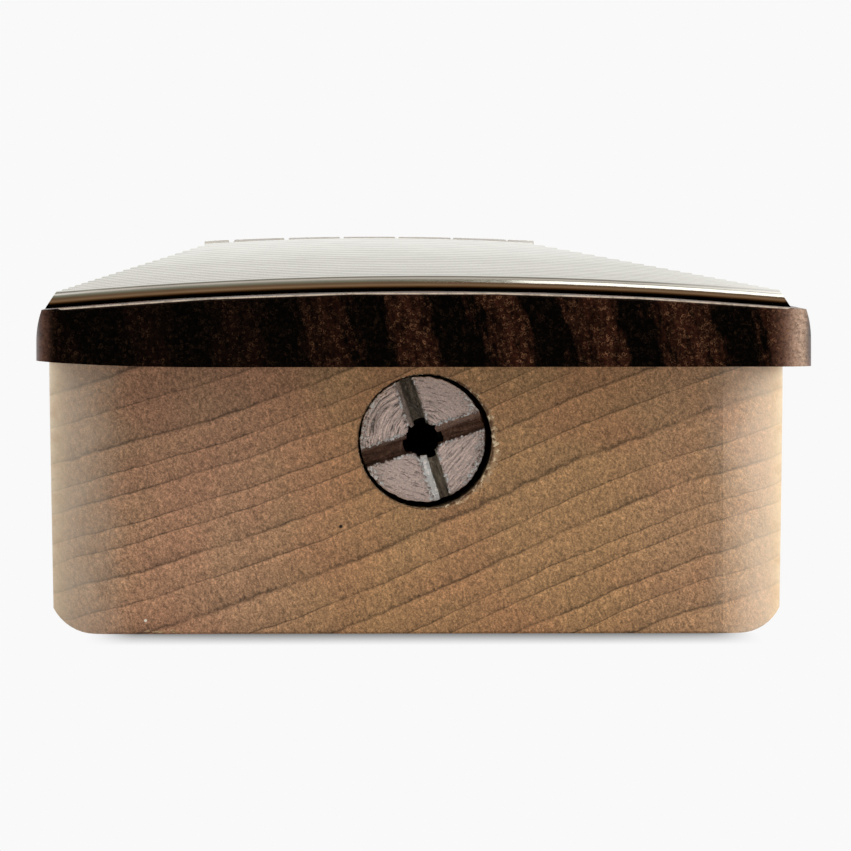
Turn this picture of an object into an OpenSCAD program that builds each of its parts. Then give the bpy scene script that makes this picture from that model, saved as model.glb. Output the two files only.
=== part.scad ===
// Bolt-on guitar neck with a heel-end truss-rod adjuster. Millimetres.
// +Y runs from the heel to the headstock, +Z is out of the fingerboard, +X is the treble side.
// The origin is the middle of the four neck-screw holes, on the flat back of the heel.

/* [Scale and frets] */
// String length from the nut to the saddles, which sets every fret position
scale_length = 647.7; // [640:0.1:655]
// Length of board left past the last fret
end_margin = 9.3; // [8:0.1:12]
// Width of a fret's crown where it meets the board
fret_width = 2.6; // [2.2:0.05:2.8]
// Height of a fret's crown above the board
fret_height = 1.2; // [1:0.05:1.4]
// How far a fret's foot stops short of the board's edge, averaged over its two ends
fret_inset = 0.75; // [0.7:0.01:1.2]
// How far the frets sit towards the bass side of the board's middle line
fret_shift = 0.33; // [0:0.01:0.4]
// Slope of a fret's filed end, away from upright
fret_bevel = 33; // [25:1:45]
// Thickness of the tang under a fret
tang_thick = 0.55; // [0.45:0.01:0.6]
// Depth of the tang under a fret
tang_depth = 1.5; // [1.2:0.05:1.8]

/* [Fingerboard] */
// Width of the board at the nut
board_nut_width = 42; // [41:0.1:44]
// Width of the board at its heel end
board_end_width = 56.75; // [55:0.05:58]
// Thickness of the board along its middle
board_thick = 5.45; // [5:0.05:6.5]
// Radius of the board's playing surface
board_radius = 305; // [241:1:406]
// How far the board hangs over the end of the heel
overhang = 9; // [6:0.1:11]
// How far the rolled side edge leans in at the top
edge_roll = 0.42; // [0.3:0.01:0.7]
// Rounding of the board's end corners, seen from above
corner_r = 2.7; // [1.5:0.1:4]
// Small break on the top edge of the board's end
end_break = 0.22; // [0.15:0.01:0.4]
// Height to which the glue line climbs at the bass corner of the heel
glue_rise = 0.42; // [0.1:0.01:0.6]
// Strip of board left behind the nut
board_tail = 3.6; // [3:0.1:5]

/* [Inlays] */
// Diameter of the position dots in the playing surface
dot_d = 6.35; // [5:0.05:7]
// Depth of the position dots
dot_depth = 1.9; // [1.5:0.1:2.2]
// Distance between the two dots of the octave pair
pair_spread = 22; // [18:0.5:26]
// Diameter of the small dots in the bass side
side_dot_d = 2; // [1.5:0.1:2.4]
// Length of the small dots in the bass side
side_dot_len = 3; // [2:0.1:4]

/* [String nut] */
// Thickness of the string nut along the neck
nut_thick = 3.3; // [3:0.1:4]
// Wood left under the string nut's slot
nut_floor = 1.6; // [1.4:0.1:2.5]
// Height of the string nut above the middle of the board
nut_rise = 1.15; // [1.1:0.05:2]
// Radius of the string nut's top
nut_top_r = 400; // [305:5:600]
// Depth of the thickest string's notch in the string nut
string_notch = 0.36; // [0.2:0.01:0.5]
// Distance from the outer strings to the ends of the string nut
string_edge = 3.4; // [3:0.1:4]

/* [Heel] */
// Thickness of the heel under the board
heel_thick = 19.9; // [19:0.1:20.5]
// Length of the flat part of the heel
heel_length = 76; // [74:1:82]
// How far the heel's sides stop short of the board's sides
heel_inset = 0.8; // [0.3:0.05:1]
// Sideways set of the heel from the board's middle line
heel_shift = -0.4; // [-0.6:0.05:0.6]
// Rounding of the heel's two end corners, seen from above
heel_corner_r = 6.4; // [3:0.1:7]
// Depth of the cut that flattened the heel's end after its corners were rounded
heel_facing = 0.22; // [0.1:0.01:0.4]
// Small break on the back edge of the heel's end
heel_break = 0.15; // [0.1:0.05:0.4]
// Radius of the heel's back edges
heel_back_r = 3.8; // [2:0.1:5]
// Height at which the rounding of the back edges meets the heel's sides
heel_back_h = 1.75; // [1:0.05:2]
// Lean of the heel's sides towards the back, over its whole thickness
heel_draft = 0.4; // [0.1:0.05:0.5]
// Distance between the screw holes across the neck
screw_gap_x = 38.1; // [36:0.1:40]
// Distance between the screw holes along the neck
screw_gap_y = 50.8; // [48:0.1:52]
// Distance from the heel's end to the first pair of screw holes
screw_edge = 15; // [12:0.1:17]
// Diameter of the screw holes
screw_hole_d = 3.2; // [2.8:0.1:3.6]
// Depth of the screw holes
screw_depth = 15; // [12:0.5:16]

/* [Shaft] */
// Thickness of wood and board together at the first fret
thick_first = 20.8; // [20.2:0.1:22]
// Thickness of wood and board together at the twelfth fret
thick_octave = 22.6; // [21.8:0.1:23.6]
// Fullness of the rounded back, where 2 is an ellipse and more is squarer
back_fullness = 2.2; // [2:0.05:2.6]
// Length over which the flat heel turns into the rounded back
heel_run = 36; // [30:1:44]

/* [Headstock] */
// Length from the nut to the tip of the headstock
head_length = 166; // [162:1:175]
// Thickness of the headstock
head_thick = 14.3; // [13:0.1:15]
// Greatest width of the headstock
head_width = 74; // [72:0.5:78]
// Width of the headstock at its tip, before its corners are rounded
tip_width = 65; // [63:0.5:68]
// Distance from the nut at which the headstock reaches its greatest width
flare_length = 60; // [54:1:70]
// Rounding of the headstock's two tip corners
tip_r = 16; // [12:0.5:18]
// Radius of the hollow that runs from the nut down to the headstock's face
ramp_r = 22; // [18:1:28]
// Diameter of the tuner holes
tuner_hole_d = 10; // [8:0.1:10.5]
// Distance between the two rows of tuner holes, across the headstock
tuner_gap_x = 48; // [46:0.5:50]
// Distance between the first and last tuner holes along a row
tuner_gap_y = 76; // [72:0.5:80]
// Distance from the nut to the first tuner holes
tuner_start = 62; // [60:0.5:64]

/* [Truss rod] */
// Diameter of the rod's threaded end
rod_d = 4.8; // [4.5:0.05:5]
// Diameter of the adjusting nut
adjuster_d = 9.3; // [9:0.05:9.6]
// Length of the adjusting nut
adjuster_len = 16; // [14:0.5:20]
// Diameter of the hole that the adjusting nut turns in
adjuster_hole_d = 9.95; // [9.9:0.05:10.5]
// How far the hole was bored off the rod's axis, towards the treble side
bore_shift = 0.18; // [0:0.01:0.2]
// How far the hole was bored off the rod's axis, towards the back
bore_drop = 0.12; // [0:0.01:0.15]
// How far the adjusting nut sits inside the heel's end
adjuster_recess = 0.8; // [0.5:0.1:1.5]
// Depth of the rod's axis at the heel, under the board
adjuster_drop = 5.55; // [5.5:0.05:6.5]
// Width of the crossed driver slots at the face
slot_width = 1.38; // [1.2:0.02:1.6]
// Width of the crossed driver slots at their floor
slot_floor = 0.8; // [0.5:0.02:1.1]
// Depth of the crossed driver slots
slot_depth = 2.2; // [1.8:0.1:3]
// Diameter of the hole in the middle of the adjusting nut
pilot_d = 2.4; // [2.2:0.1:2.8]
// Reach of the pilot hole's four lobes, which open into the slots
lobe_reach = 1.5; // [1.4:0.05:1.7]
// Turn of the driver slots at rest
slot_angle = 18; // [0:0.5:45]
// Thickness of the washer behind the adjusting nut
washer_thick = 1.2; // [1:0.1:2]
// Width of the walnut strip that closes the rod's channel
stripe_width = 6.35; // [6:0.05:7]
// How far the rod dips towards the back in the middle of the neck
rod_dip = 5.4; // [5:0.1:5.6]
// Diameter of the walnut plug over the rod's anchor
plug_d = 9.5; // [9:0.1:10]
// Diameter of the rod's anchor
anchor_d = 7.9; // [7:0.1:8.2]
// Length of the rod's anchor
anchor_len = 10; // [8:0.5:12]

/* [Hidden] */
$fn = 96;

last_fret = 22;
fit_gap = 0.02;      // between an inlay or tang and the wood around it
run_gap = 0.06;      // between the rod's thread and the nut that turns on it
slack_gap = 0.3;     // between the adjusting nut and its washer, with the rod slack
dotted = [3, 5, 7, 9, 15, 17, 19, 21];
side_pair = 3.2;     // half the distance between the two side dots of the octave pair
side_dot_z = heel_thick + 2;

function fret_pos(n) = scale_length * (1 - pow(2, -n / 12));
board_len = fret_pos(last_fret) + end_margin;
heel_y = -(screw_gap_y / 2 + screw_edge);
board_y = heel_y - overhang;
nut_y = board_y + board_len;
tail_y = nut_y + nut_thick + board_tail;
function fret_y(n) = nut_y - fret_pos(n);
function dot_y(n) = (fret_y(n - 1) + fret_y(n)) / 2;

side_slope = (board_end_width - board_nut_width) / 2 / board_len;
side_angle = atan(side_slope);
function half_board(y) = board_nut_width / 2 + (nut_y - y) * side_slope;

top_z = heel_thick + board_thick;
axis_z = top_z - board_radius;
sweep = 2 * asin(36 / board_radius);

heel_far_y = heel_y + heel_length;
shaft_y = heel_far_y + heel_run;
tip_y = nut_y + head_length;
ramp_top_y = tail_y + 1;
ramp_foot_y = ramp_top_y + sqrt(pow(ramp_r, 2) - pow(ramp_r - heel_thick + head_thick, 2));

rod_z = heel_thick - adjuster_drop;
rod_head_z = head_thick - 1.9;
channel_y = heel_far_y + 4;
channel_far_y = nut_y - 22;
adjuster_y = heel_y + adjuster_recess;
washer_y = adjuster_y + adjuster_len + slack_gap;
adjuster_hole_depth = washer_y + washer_thick - heel_y;
anchor_y = nut_y - 6;
rod_hole_d = rod_d + 0.6;
plug_tilt = 14;

function clamp01(t) = max(0, min(1, t));
function ease(a, b, y) = let(t = clamp01((y - a) / (b - a))) t * t * (3 - 2 * t);
function arc(cx, cy, r, a0, a1, n) =
    [for (i = [0:n]) let(a = a0 + (a1 - a0) * i / n) [cx + r * cos(a), cy + r * sin(a)]];

// ---- shapes that several pieces share ----

// A ring section about the playing surface's axis; the child is drawn as [radius, y].
module about_axis() {
    translate([0, 0, axis_z]) rotate([-90, 0, 0]) rotate([0, 0, 270 - sweep / 2])
        rotate_extrude(angle = sweep, $fn = 1440) children();
}

// Everything inside one tapering side; the profile holds [offset from the side line, z] points.
module inside_side(profile) {
    far = 75;
    translate([board_nut_width / 2, nut_y, 0]) rotate([0, 0, side_angle]) rotate([90, 0, 0])
        translate([0, 0, -30]) linear_extrude(height = board_len + 60)
            polygon(concat([[-far, profile[0][1]]], profile, [[-far, profile[len(profile) - 1][1]]]));
}
module inside_sides(profile) {
    intersection() {
        inside_side(profile);
        mirror([1, 0, 0]) inside_side(profile);
    }
}

// A plate cut square at the far end, with its two near corners rounded.
corner_steps = 32;
module end_plan(y0, y1, half, r, z0, z1) {
    near = concat([[-45, y0 + r]], arc(-half + r, y0 + r, r, 180, 270, corner_steps),
                  arc(half - r, y0 + r, r, 270, 360, corner_steps), [[45, y0 + r]]);
    translate([0, 0, z0]) linear_extrude(height = z1 - z0)
        polygon(concat(near, [[45, y1], [-45, y1]]));
}

// The rolled side of the board: upright low down, then leaning in to the top edge.
roll_low = 1.7;      // height of the upright part of the side
edge_sag = 1.35;     // drop of the playing surface from its middle to its edge
roll_h = board_thick - edge_sag - roll_low;
roll_r = (pow(roll_h, 2) + pow(edge_roll, 2)) / (2 * edge_roll);
board_side = concat([[0, heel_thick - 3], [0, heel_thick + roll_low]],
                    [for (i = [1:8]) let(a = asin(roll_h / roll_r) * i / 8)
                        [roll_r * (cos(a) - 1), heel_thick + roll_low + roll_r * sin(a)]],
                    [[-edge_roll - 0.3, top_z + 2]]);

// ---- fingerboard ----
module board_blank() {
    half_end = half_board(board_y + corner_r) + 0.01;
    intersection() {
        about_axis() polygon([[board_radius - 12, board_y], [board_radius - end_break, board_y],
                              [board_radius, board_y + end_break], [board_radius, tail_y],
                              [board_radius - 12, tail_y]]);
        inside_sides(board_side);
        end_plan(board_y - 0.001, tail_y + 5, half_end, corner_r, heel_thick, top_z + 5);
    }
}

// The wood that the board lacks at its bass heel corner, and the heel has.
module glue_wedge() {
    run = 26;
    side = half_board(heel_y);
    intersection() {
        translate([0, heel_y + run, heel_thick]) rotate([90, 0, 0])
            linear_extrude(height = run + overhang + 1)
                polygon([[-side - 2, -1], [-side - 2, glue_rise * 1.4], [-side + 1.6, glue_rise * 0.78],
                         [-side + 4.5, glue_rise * 0.4], [-side + 7.5, glue_rise * 0.15],
                         [-side + 11.5, 0], [-side + 11.5, -1]]);
        translate([-60, 0, heel_thick]) rotate([90, 0, 90]) linear_extrude(height = 120)
            polygon([[board_y - 2, -2], [heel_y + run, -2], [heel_y + run, 0],
                     [heel_y + 4, glue_rise * 1.5], [board_y - 2, glue_rise * 1.5]]);
    }
}

// A place on the playing surface, square to it, at a distance x from its middle line.
module on_board(x, y) {
    translate([0, y, axis_z]) rotate([0, asin(x / board_radius), 0]) translate([0, 0, board_radius])
        children();
}
module dot_hole(x, y) {
    on_board(x, y) translate([0, 0, -dot_depth]) cylinder(h = dot_depth + 2, d = dot_d + 2 * fit_gap);
}
module side_dot_hole(y) {
    translate([-half_board(y) + side_dot_len, y, side_dot_z]) rotate([0, -90, 0])
        cylinder(h = side_dot_len + 3, d = side_dot_d + 2 * fit_gap);
}

module fingerboard() {
    color([0.2, 0.11, 0.07]) difference() {
        board_blank();
        for (n = [1:last_fret])
            about_axis() translate([board_radius - tang_depth, fret_y(n) - tang_thick / 2])
                translate([-fit_gap, -fit_gap]) square([tang_depth + 3, tang_thick + 2 * fit_gap]);
        translate([-40, nut_y, heel_thick + nut_floor]) cube([80, nut_thick, 20]);
        for (n = dotted) { dot_hole(0, dot_y(n)); side_dot_hole(dot_y(n)); }
        for (s = [-1, 1]) {
            dot_hole(s * pair_spread / 2, dot_y(12));
            side_dot_hole(dot_y(12) + s * side_pair);
        }
        glue_wedge();
    }
}

// ---- frets: a crown and tang swept round the playing surface, with filed ends ----
crown_r = (pow(fret_width / 2, 2) + pow(fret_height, 2)) / (2 * fret_height);
module fret(n) {
    half = half_board(fret_y(n)) - fret_inset;
    foot_z = axis_z + sqrt(pow(board_radius, 2) - pow(half, 2));
    foot_in = 5;
    foot_up = 0.03;   // height of the end's upright foot over the board
    rise = board_radius - sqrt(pow(board_radius, 2) - pow(half, 2)) + fret_height + 1;
    lean = rise * tan(fret_bevel);
    color([0.78, 0.78, 0.76]) intersection() {
        about_axis() translate([board_radius, fret_y(n)]) union() {
            intersection() {
                translate([fret_height - crown_r, 0]) circle(r = crown_r);
                translate([0, -fret_width]) square([fret_height + 1, 2 * fret_width]);
            }
            translate([-tang_depth, -tang_thick / 2]) square([tang_depth + 0.2, tang_thick]);
        }
        translate([-fret_shift, fret_y(n) + fret_width, 0]) rotate([90, 0, 0])
            linear_extrude(height = 2 * fret_width)
                polygon([[-half, foot_z - foot_in], [half, foot_z - foot_in], [half, foot_z + foot_up],
                         [half - lean, foot_z + rise], [-half + lean, foot_z + rise],
                         [-half, foot_z + foot_up]]);
    }
}
module fret_01() { fret(1); }
module fret_02() { fret(2); }
module fret_03() { fret(3); }
module fret_04() { fret(4); }
module fret_05() { fret(5); }
module fret_06() { fret(6); }
module fret_07() { fret(7); }
module fret_08() { fret(8); }
module fret_09() { fret(9); }
module fret_10() { fret(10); }
module fret_11() { fret(11); }
module fret_12() { fret(12); }
module fret_13() { fret(13); }
module fret_14() { fret(14); }
module fret_15() { fret(15); }
module fret_16() { fret(16); }
module fret_17() { fret(17); }
module fret_18() { fret(18); }
module fret_19() { fret(19); }
module fret_20() { fret(20); }
module fret_21() { fret(21); }
module fret_22() { fret(22); }

// ---- position dots ----
// Flat-topped, and level with the board at its rim.
module dot(x, y) {
    sag = pow(dot_d / 2, 2) / board_radius / 2;
    color([0.93, 0.92, 0.88]) on_board(x, y) translate([0, 0, -dot_depth])
        cylinder(h = dot_depth - sag, d = dot_d);
}
module side_dot(y) {
    color([0.93, 0.92, 0.88]) intersection() {
        translate([-half_board(y) + side_dot_len, y, side_dot_z]) rotate([0, -90, 0])
            cylinder(h = side_dot_len + 3, d = side_dot_d);
        mirror([1, 0, 0]) inside_side(board_side);
    }
}
module dot_03() { dot(0, dot_y(3)); }
module dot_05() { dot(0, dot_y(5)); }
module dot_07() { dot(0, dot_y(7)); }
module dot_09() { dot(0, dot_y(9)); }
module dot_12_bass() { dot(-pair_spread / 2, dot_y(12)); }
module dot_12_treble() { dot(pair_spread / 2, dot_y(12)); }
module dot_15() { dot(0, dot_y(15)); }
module dot_17() { dot(0, dot_y(17)); }
module dot_19() { dot(0, dot_y(19)); }
module dot_21() { dot(0, dot_y(21)); }
module side_dot_03() { side_dot(dot_y(3)); }
module side_dot_05() { side_dot(dot_y(5)); }
module side_dot_07() { side_dot(dot_y(7)); }
module side_dot_09() { side_dot(dot_y(9)); }
module side_dot_12_low() { side_dot(dot_y(12) - side_pair); }
module side_dot_12_high() { side_dot(dot_y(12) + side_pair); }
module side_dot_15() { side_dot(dot_y(15)); }
module side_dot_17() { side_dot(dot_y(17)); }
module side_dot_19() { side_dot(dot_y(19)); }
module side_dot_21() { side_dot(dot_y(21)); }

// ---- string nut ----
nut_half = board_nut_width / 2 - 0.15;
module string_nut() {
    gap = 2 * (nut_half - string_edge) / 5;
    back_fall = 1.4;
    color([0.93, 0.9, 0.8]) difference() {
        intersection() {
            translate([-nut_half, nut_y, heel_thick + nut_floor]) cube([2 * nut_half, nut_thick, 12]);
            translate([0, nut_y - 1, top_z + nut_rise - nut_top_r]) rotate([-90, 0, 0])
                cylinder(h = nut_thick + 2, r = nut_top_r, $fn = 1440);
        }
        for (i = [0:5]) {
            x = -nut_half + string_edge + gap * i;
            z = top_z + nut_rise - nut_top_r + sqrt(pow(nut_top_r, 2) - pow(x, 2));
            translate([x, nut_y - 1, z]) rotate([-90, 0, 0])
                cylinder(h = nut_thick + 2, r = string_notch * (1 - i / 9));
        }
        // back of the top, sloped down towards the headstock
        translate([-30, nut_y + nut_thick, top_z + nut_rise - back_fall]) rotate([45, 0, 0])
            cube([60, 3, 3]);
    }
}

// ---- truss rod and its fittings ----
function rod_path(y) = let(u = clamp01((y - channel_y) / (channel_far_y - channel_y)))
    rod_z + (rod_head_z - rod_z) * u - rod_dip * (1 - cos(360 * u)) / 2;

// Closed skin over rings of points that all have the same count, joined in order.
function middle(ring) = ([for (p = ring) 1] * ring) / len(ring);
module skin(rings) {
    n = len(rings[0]);
    m = len(rings);
    polyhedron(points = concat([for (r = rings) each r], [middle(rings[0]), middle(rings[m - 1])]),
        faces = [
            for (i = [0:n - 1]) [m * n, i, (i + 1) % n],
            for (i = [0:n - 1]) [m * n + 1, (m - 1) * n + (i + 1) % n, (m - 1) * n + i],
            for (j = [0:m - 2]) for (i = [0:n - 1]) let(k = (i + 1) % n, a = j * n, b = a + n)
                each [[a + i, b + i, b + k], [a + i, b + k, a + k]]]);
}
function path_ys(steps) = [for (i = [0:steps]) channel_y + (channel_far_y - channel_y) * i / steps];

module along_y(y0, z) { translate([0, y0, z]) rotate([-90, 0, 0]) children(); }

module truss_rod() {
    shank_r = rod_d / 2 - 0.08;
    thread_y = adjuster_y + adjuster_len - 1.6 * rod_d;
    color([0.55, 0.55, 0.57]) union() {
        along_y(thread_y, rod_z) cylinder(h = channel_y - 30 - thread_y, d = rod_d);
        skin([for (y = concat([channel_y - 30.5], path_ys(20), [anchor_y + 2]))
            [for (i = [0:13]) let(a = -360 * i / 14) [shank_r * cos(a), y, rod_path(y) + shank_r * sin(a)]]]);
    }
}
module truss_rod_anchor() {
    color([0.6, 0.6, 0.62]) difference() {
        along_y(anchor_y, rod_head_z) cylinder(h = anchor_len, d = anchor_d);
        along_y(anchor_y - 1, rod_head_z) cylinder(h = 3.01, d = rod_d - 0.16);
    }
}
module truss_rod_washer() {
    color([0.62, 0.62, 0.63]) along_y(washer_y, rod_z) rotate_extrude()
        translate([rod_d / 2 + run_gap, 0]) square([adjuster_d / 2 - rod_d / 2 - run_gap, washer_thick]);
}
module truss_rod_nut() {
    r = adjuster_d / 2;
    bore = rod_d / 2 + run_gap;
    deep = slot_depth + 1;
    edge = 0.15;
    lobe_r = 0.45;
    color([0.62, 0.6, 0.6]) along_y(adjuster_y, rod_z) rotate([0, 0, -slot_angle]) difference() {
        rotate_extrude() polygon([[pilot_d / 2, 0], [r - edge, 0], [r, edge], [r, adjuster_len - edge],
            [r - edge, adjuster_len], [bore, adjuster_len], [bore, deep], [pilot_d / 2, deep]]);
        for (a = [0, 90]) rotate([0, 0, a]) translate([-r - 1, 0, 0]) rotate([90, 0, 90])
            linear_extrude(height = 2 * r + 2)
                polygon([[-slot_width / 2, -1], [slot_width / 2, -1], [slot_width / 2, 0],
                         [slot_floor / 2, slot_depth], [-slot_floor / 2, slot_depth],
                         [-slot_width / 2, 0]]);
        for (a = [0:90:270]) rotate([0, 0, a]) translate([lobe_reach - lobe_r, 0, -1])
            cylinder(h = deep + 2, r = lobe_r);
    }
}

// Long plan shape of the strip, with round ends.
module strip_plan(z0, z1) {
    r = stripe_width / 2;
    translate([0, 0, z0]) linear_extrude(height = z1 - z0)
        polygon(concat(arc(0, channel_far_y - r, r, 0, 180, 12), arc(0, channel_y + r, r, 180, 360, 12)));
}
module rod_trough(lift, low) {
    w = stripe_width;
    skin([for (y = path_ys(20)) let(top = rod_path(y) + lift)
        [[w, y, low], [-w, y, low], [-w, y, top], [w, y, top]]]);
}
module skunk_stripe() {
    color([0.3, 0.18, 0.1]) intersection() {
        shaft_loft();
        strip_plan(-1, heel_thick);
        rod_trough(-rod_d / 2, -2);
    }
}

module plug_bore(r) {
    translate([0, anchor_y + anchor_len + 2, rod_head_z + 0.6]) rotate([-90 + plug_tilt, 0, 0])
        cylinder(h = 40, r = r);
}
module anchor_plug() {
    color([0.3, 0.18, 0.1]) difference() {
        plug_bore(plug_d / 2);
        above_wood();
    }
}

// ---- the neck's wood ----
// Everything above the wood: over the board joint, down the ramp and over the headstock's face.
ramp_angle = acos((ramp_r - heel_thick + head_thick) / ramp_r);
module above_wood() {
    a0 = 270 - ramp_angle;
    profile = concat([[board_y - 20, heel_thick]],
                     arc(ramp_foot_y, head_thick + ramp_r, ramp_r, a0, 270, 9),
                     [[tip_y + 20, head_thick], [tip_y + 20, 60], [board_y - 20, 60]]);
    translate([-60, 0, 0]) rotate([90, 0, 90]) linear_extrude(height = 120) polygon(profile);
}

// Half width of the wood at the top, from the end of the heel to the tip.
head_far = tip_y - tip_r;
widest_y = nut_y + flare_length;
function head_side(y) = head_width / 2
    - (head_width - tip_width) / 2 * clamp01((y - widest_y) / (tip_y - widest_y));
function wood_half(y) =
    y < nut_y ? half_board(y) - 0.05 - (heel_inset - 0.05) * (1 - ease(heel_far_y, shaft_y, y))
    : y < head_far ? half_board(nut_y) - 0.05
        + (head_side(y) - half_board(nut_y) + 0.05) * ease(tail_y + 1, widest_y, y)
    : head_side(y) - tip_r + sqrt(max(0, pow(tip_r, 2) - pow(y - head_far, 2)));

function back_line(y) = let(a = top_z - thick_octave, b = top_z - thick_first)
    a + (b - a) * (y - fret_y(12)) / (fret_y(1) - fret_y(12));
throat_y = nut_y - 14;   // where the rounded back starts to square up
flat_y = nut_y + 40;     // where the headstock's back is flat and square
function back_z(y) = back_line(y) * ease(heel_far_y, shaft_y, y) * (1 - ease(nut_y - 4, flat_y - 6, y));
function squareness(y) = max(1 - ease(heel_far_y, shaft_y, y), ease(throat_y, flat_y, y));
head_edge_r = 1.6;
function edge_r(y) = y < fret_y(12) ? heel_back_r : head_edge_r;
back_turn = acos(1 - heel_back_h / heel_back_r);
function edge_turn(y) = y < fret_y(12) ? back_turn : 90;
function lean_in(y) = heel_draft * (1 - ease(heel_far_y, shaft_y, y));

// Height of the wood's upper side: flat under the board, then the hollow down to the headstock.
function wood_top(y) = y <= ramp_top_y ? heel_thick : y >= ramp_foot_y ? head_thick
    : head_thick + ramp_r - sqrt(pow(ramp_r, 2) - pow(ramp_foot_y - y, 2));

half_steps = 13;
function round_pt(i, w, side_z, z) = let(t = 90 * i / half_steps)
    [w * pow(abs(cos(t)), 2 / back_fullness), side_z - (side_z - z) * pow(sin(t), 2 / back_fullness)];
function square_pt(i, w, side_z, z, r, turn, lean) = let(foot = w - lean - r * sin(turn))
    i <= 1 ? [w - lean * i * 0.4, side_z - (side_z - z - r * (1 - cos(turn))) * i / 2]
    : i <= 9 ? let(a = turn * (9 - i) / 7) [foot + r * sin(a), z + r * (1 - cos(a))]
    : [foot * (half_steps - i) / (half_steps - 9), z];
function wood_pt(i, y, cut) = let(
        w = wood_half(y) - cut, side_z = wood_top(y) - 1.6, z = back_z(y) + cut, s = squareness(y),
        c = round_pt(i, w, side_z, z), q = square_pt(i, w, side_z, z, edge_r(y), edge_turn(y), lean_in(y)))
    c + (q - c) * s;
function wood_ring(y, cut = 0) = let(
        x0 = heel_shift * (1 - ease(heel_far_y, shaft_y, y)), over = wood_top(y))
    concat([[x0 + wood_half(y) - cut, y, over]],
           [for (i = [0:half_steps]) let(p = wood_pt(i, y, cut)) [x0 + p[0], y, p[1]]],
           [for (i = [half_steps - 1:-1:0]) let(p = wood_pt(i, y, cut)) [x0 - p[0], y, p[1]]],
           [[x0 - wood_half(y) + cut, y, over]]);

module shaft_loft() {
    rings = concat(
        [wood_ring(heel_far_y - 4, 0.04), wood_ring(heel_far_y, 0.04)],
        [for (i = [1:9]) wood_ring(heel_far_y + heel_run * i / 9)],
        [for (i = [1:3]) wood_ring(shaft_y + (throat_y - shaft_y) * i / 3)],
        [for (i = [1:6]) wood_ring(throat_y + (ramp_top_y - throat_y) * i / 6)],
        [for (i = [1:9]) wood_ring(ramp_foot_y - ramp_r * sin(ramp_angle * (1 - i / 9)))],
        [for (i = [1:8]) wood_ring(ramp_foot_y + (widest_y - ramp_foot_y) * i / 8)],
        [wood_ring((widest_y + head_far) / 2), wood_ring(head_far)],
        [for (i = [1:9]) wood_ring(head_far + tip_r * sin(10 * i))]);
    skin(rings);
}

module heel_block() {
    half_end = half_board(heel_y + heel_corner_r) - heel_inset + 0.01;
    side_x = -heel_inset - heel_draft * (1 - heel_back_h / heel_thick);
    intersection() {
        translate([heel_shift, 0, 0]) inside_sides(concat(
            arc(side_x - heel_back_r * sin(back_turn), heel_back_r, heel_back_r, -90, back_turn - 90, 8),
            [[-heel_inset, heel_thick], [-heel_inset, heel_thick + 1]]));
        translate([heel_shift, 0, 0])
            end_plan(heel_y - heel_facing, heel_far_y, half_end, heel_corner_r, -1, heel_thick + 2);
        translate([-60, 0, 0]) rotate([90, 0, 90]) linear_extrude(height = 120)
            polygon([[heel_y, heel_thick + 2], [heel_y, heel_break], [heel_y + heel_break, 0],
                     [heel_far_y + 5, 0], [heel_far_y + 5, heel_thick + 2]]);
        union() {
            translate([-60, board_y, -1]) cube([120, 3 * heel_length, heel_thick + 1]);
            glue_wedge();
        }
    }
}

module maple_neck() {
    color([0.83, 0.67, 0.46]) difference() {
        union() {
            shaft_loft();
            heel_block();
        }
        // neck screws
        for (x = [-1, 1]) for (y = [-1, 1]) translate([x * screw_gap_x / 2, y * screw_gap_y / 2, -1])
            rotate_extrude() polygon([[0, 0], [screw_hole_d / 2, 0], [screw_hole_d / 2, screw_depth + 1],
                                      [0, screw_depth + 2]]);
        // tuner holes
        for (x = [-1, 1]) for (k = [0:2])
            translate([x * tuner_gap_x / 2, nut_y + tuner_start + k * tuner_gap_y / 2, -1])
                cylinder(h = head_thick + 2, d = tuner_hole_d);
        // adjuster hole, rod hole at the heel, strip channel, rod hole at the head, anchor hole
        translate([bore_shift, 0, 0]) along_y(heel_y - 1, rod_z - bore_drop)
            cylinder(h = adjuster_hole_depth + 1, d = adjuster_hole_d);
        along_y(heel_y, rod_z) cylinder(h = channel_y + 3 - heel_y, d = rod_hole_d);
        intersection() {
            strip_plan(-2, heel_thick);
            rod_trough(rod_d / 2 + 0.05, -3);
        }
        along_y(channel_far_y - 3, rod_head_z) cylinder(h = anchor_y - channel_far_y + 4, d = rod_hole_d);
        along_y(anchor_y, rod_head_z) cylinder(h = anchor_len + 1, d = anchor_d + 2 * fit_gap);
        plug_bore(plug_d / 2 + fit_gap);
    }
}

maple_neck();
fingerboard();
string_nut();
truss_rod();
truss_rod_anchor();
truss_rod_washer();
truss_rod_nut();
skunk_stripe();
anchor_plug();
fret_01();
fret_02();
fret_03();
fret_04();
fret_05();
fret_06();
fret_07();
fret_08();
fret_09();
fret_10();
fret_11();
fret_12();
fret_13();
fret_14();
fret_15();
fret_16();
fret_17();
fret_18();
fret_19();
fret_20();
fret_21();
fret_22();
dot_03();
dot_05();
dot_07();
dot_09();
dot_12_bass();
dot_12_treble();
dot_15();
dot_17();
dot_19();
dot_21();
side_dot_03();
side_dot_05();
side_dot_07();
side_dot_09();
side_dot_12_low();
side_dot_12_high();
side_dot_15();
side_dot_17();
side_dot_19();
side_dot_21();
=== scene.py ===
"""Dresses the bare bolt-on neck, then sets up its table, light and camera."""
import logging
import math
import random
from dataclasses import dataclass, field
from enum import Enum
from typing import Dict, List, Sequence, Tuple, Union

import bpy
from mathutils import Matrix, Vector


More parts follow.
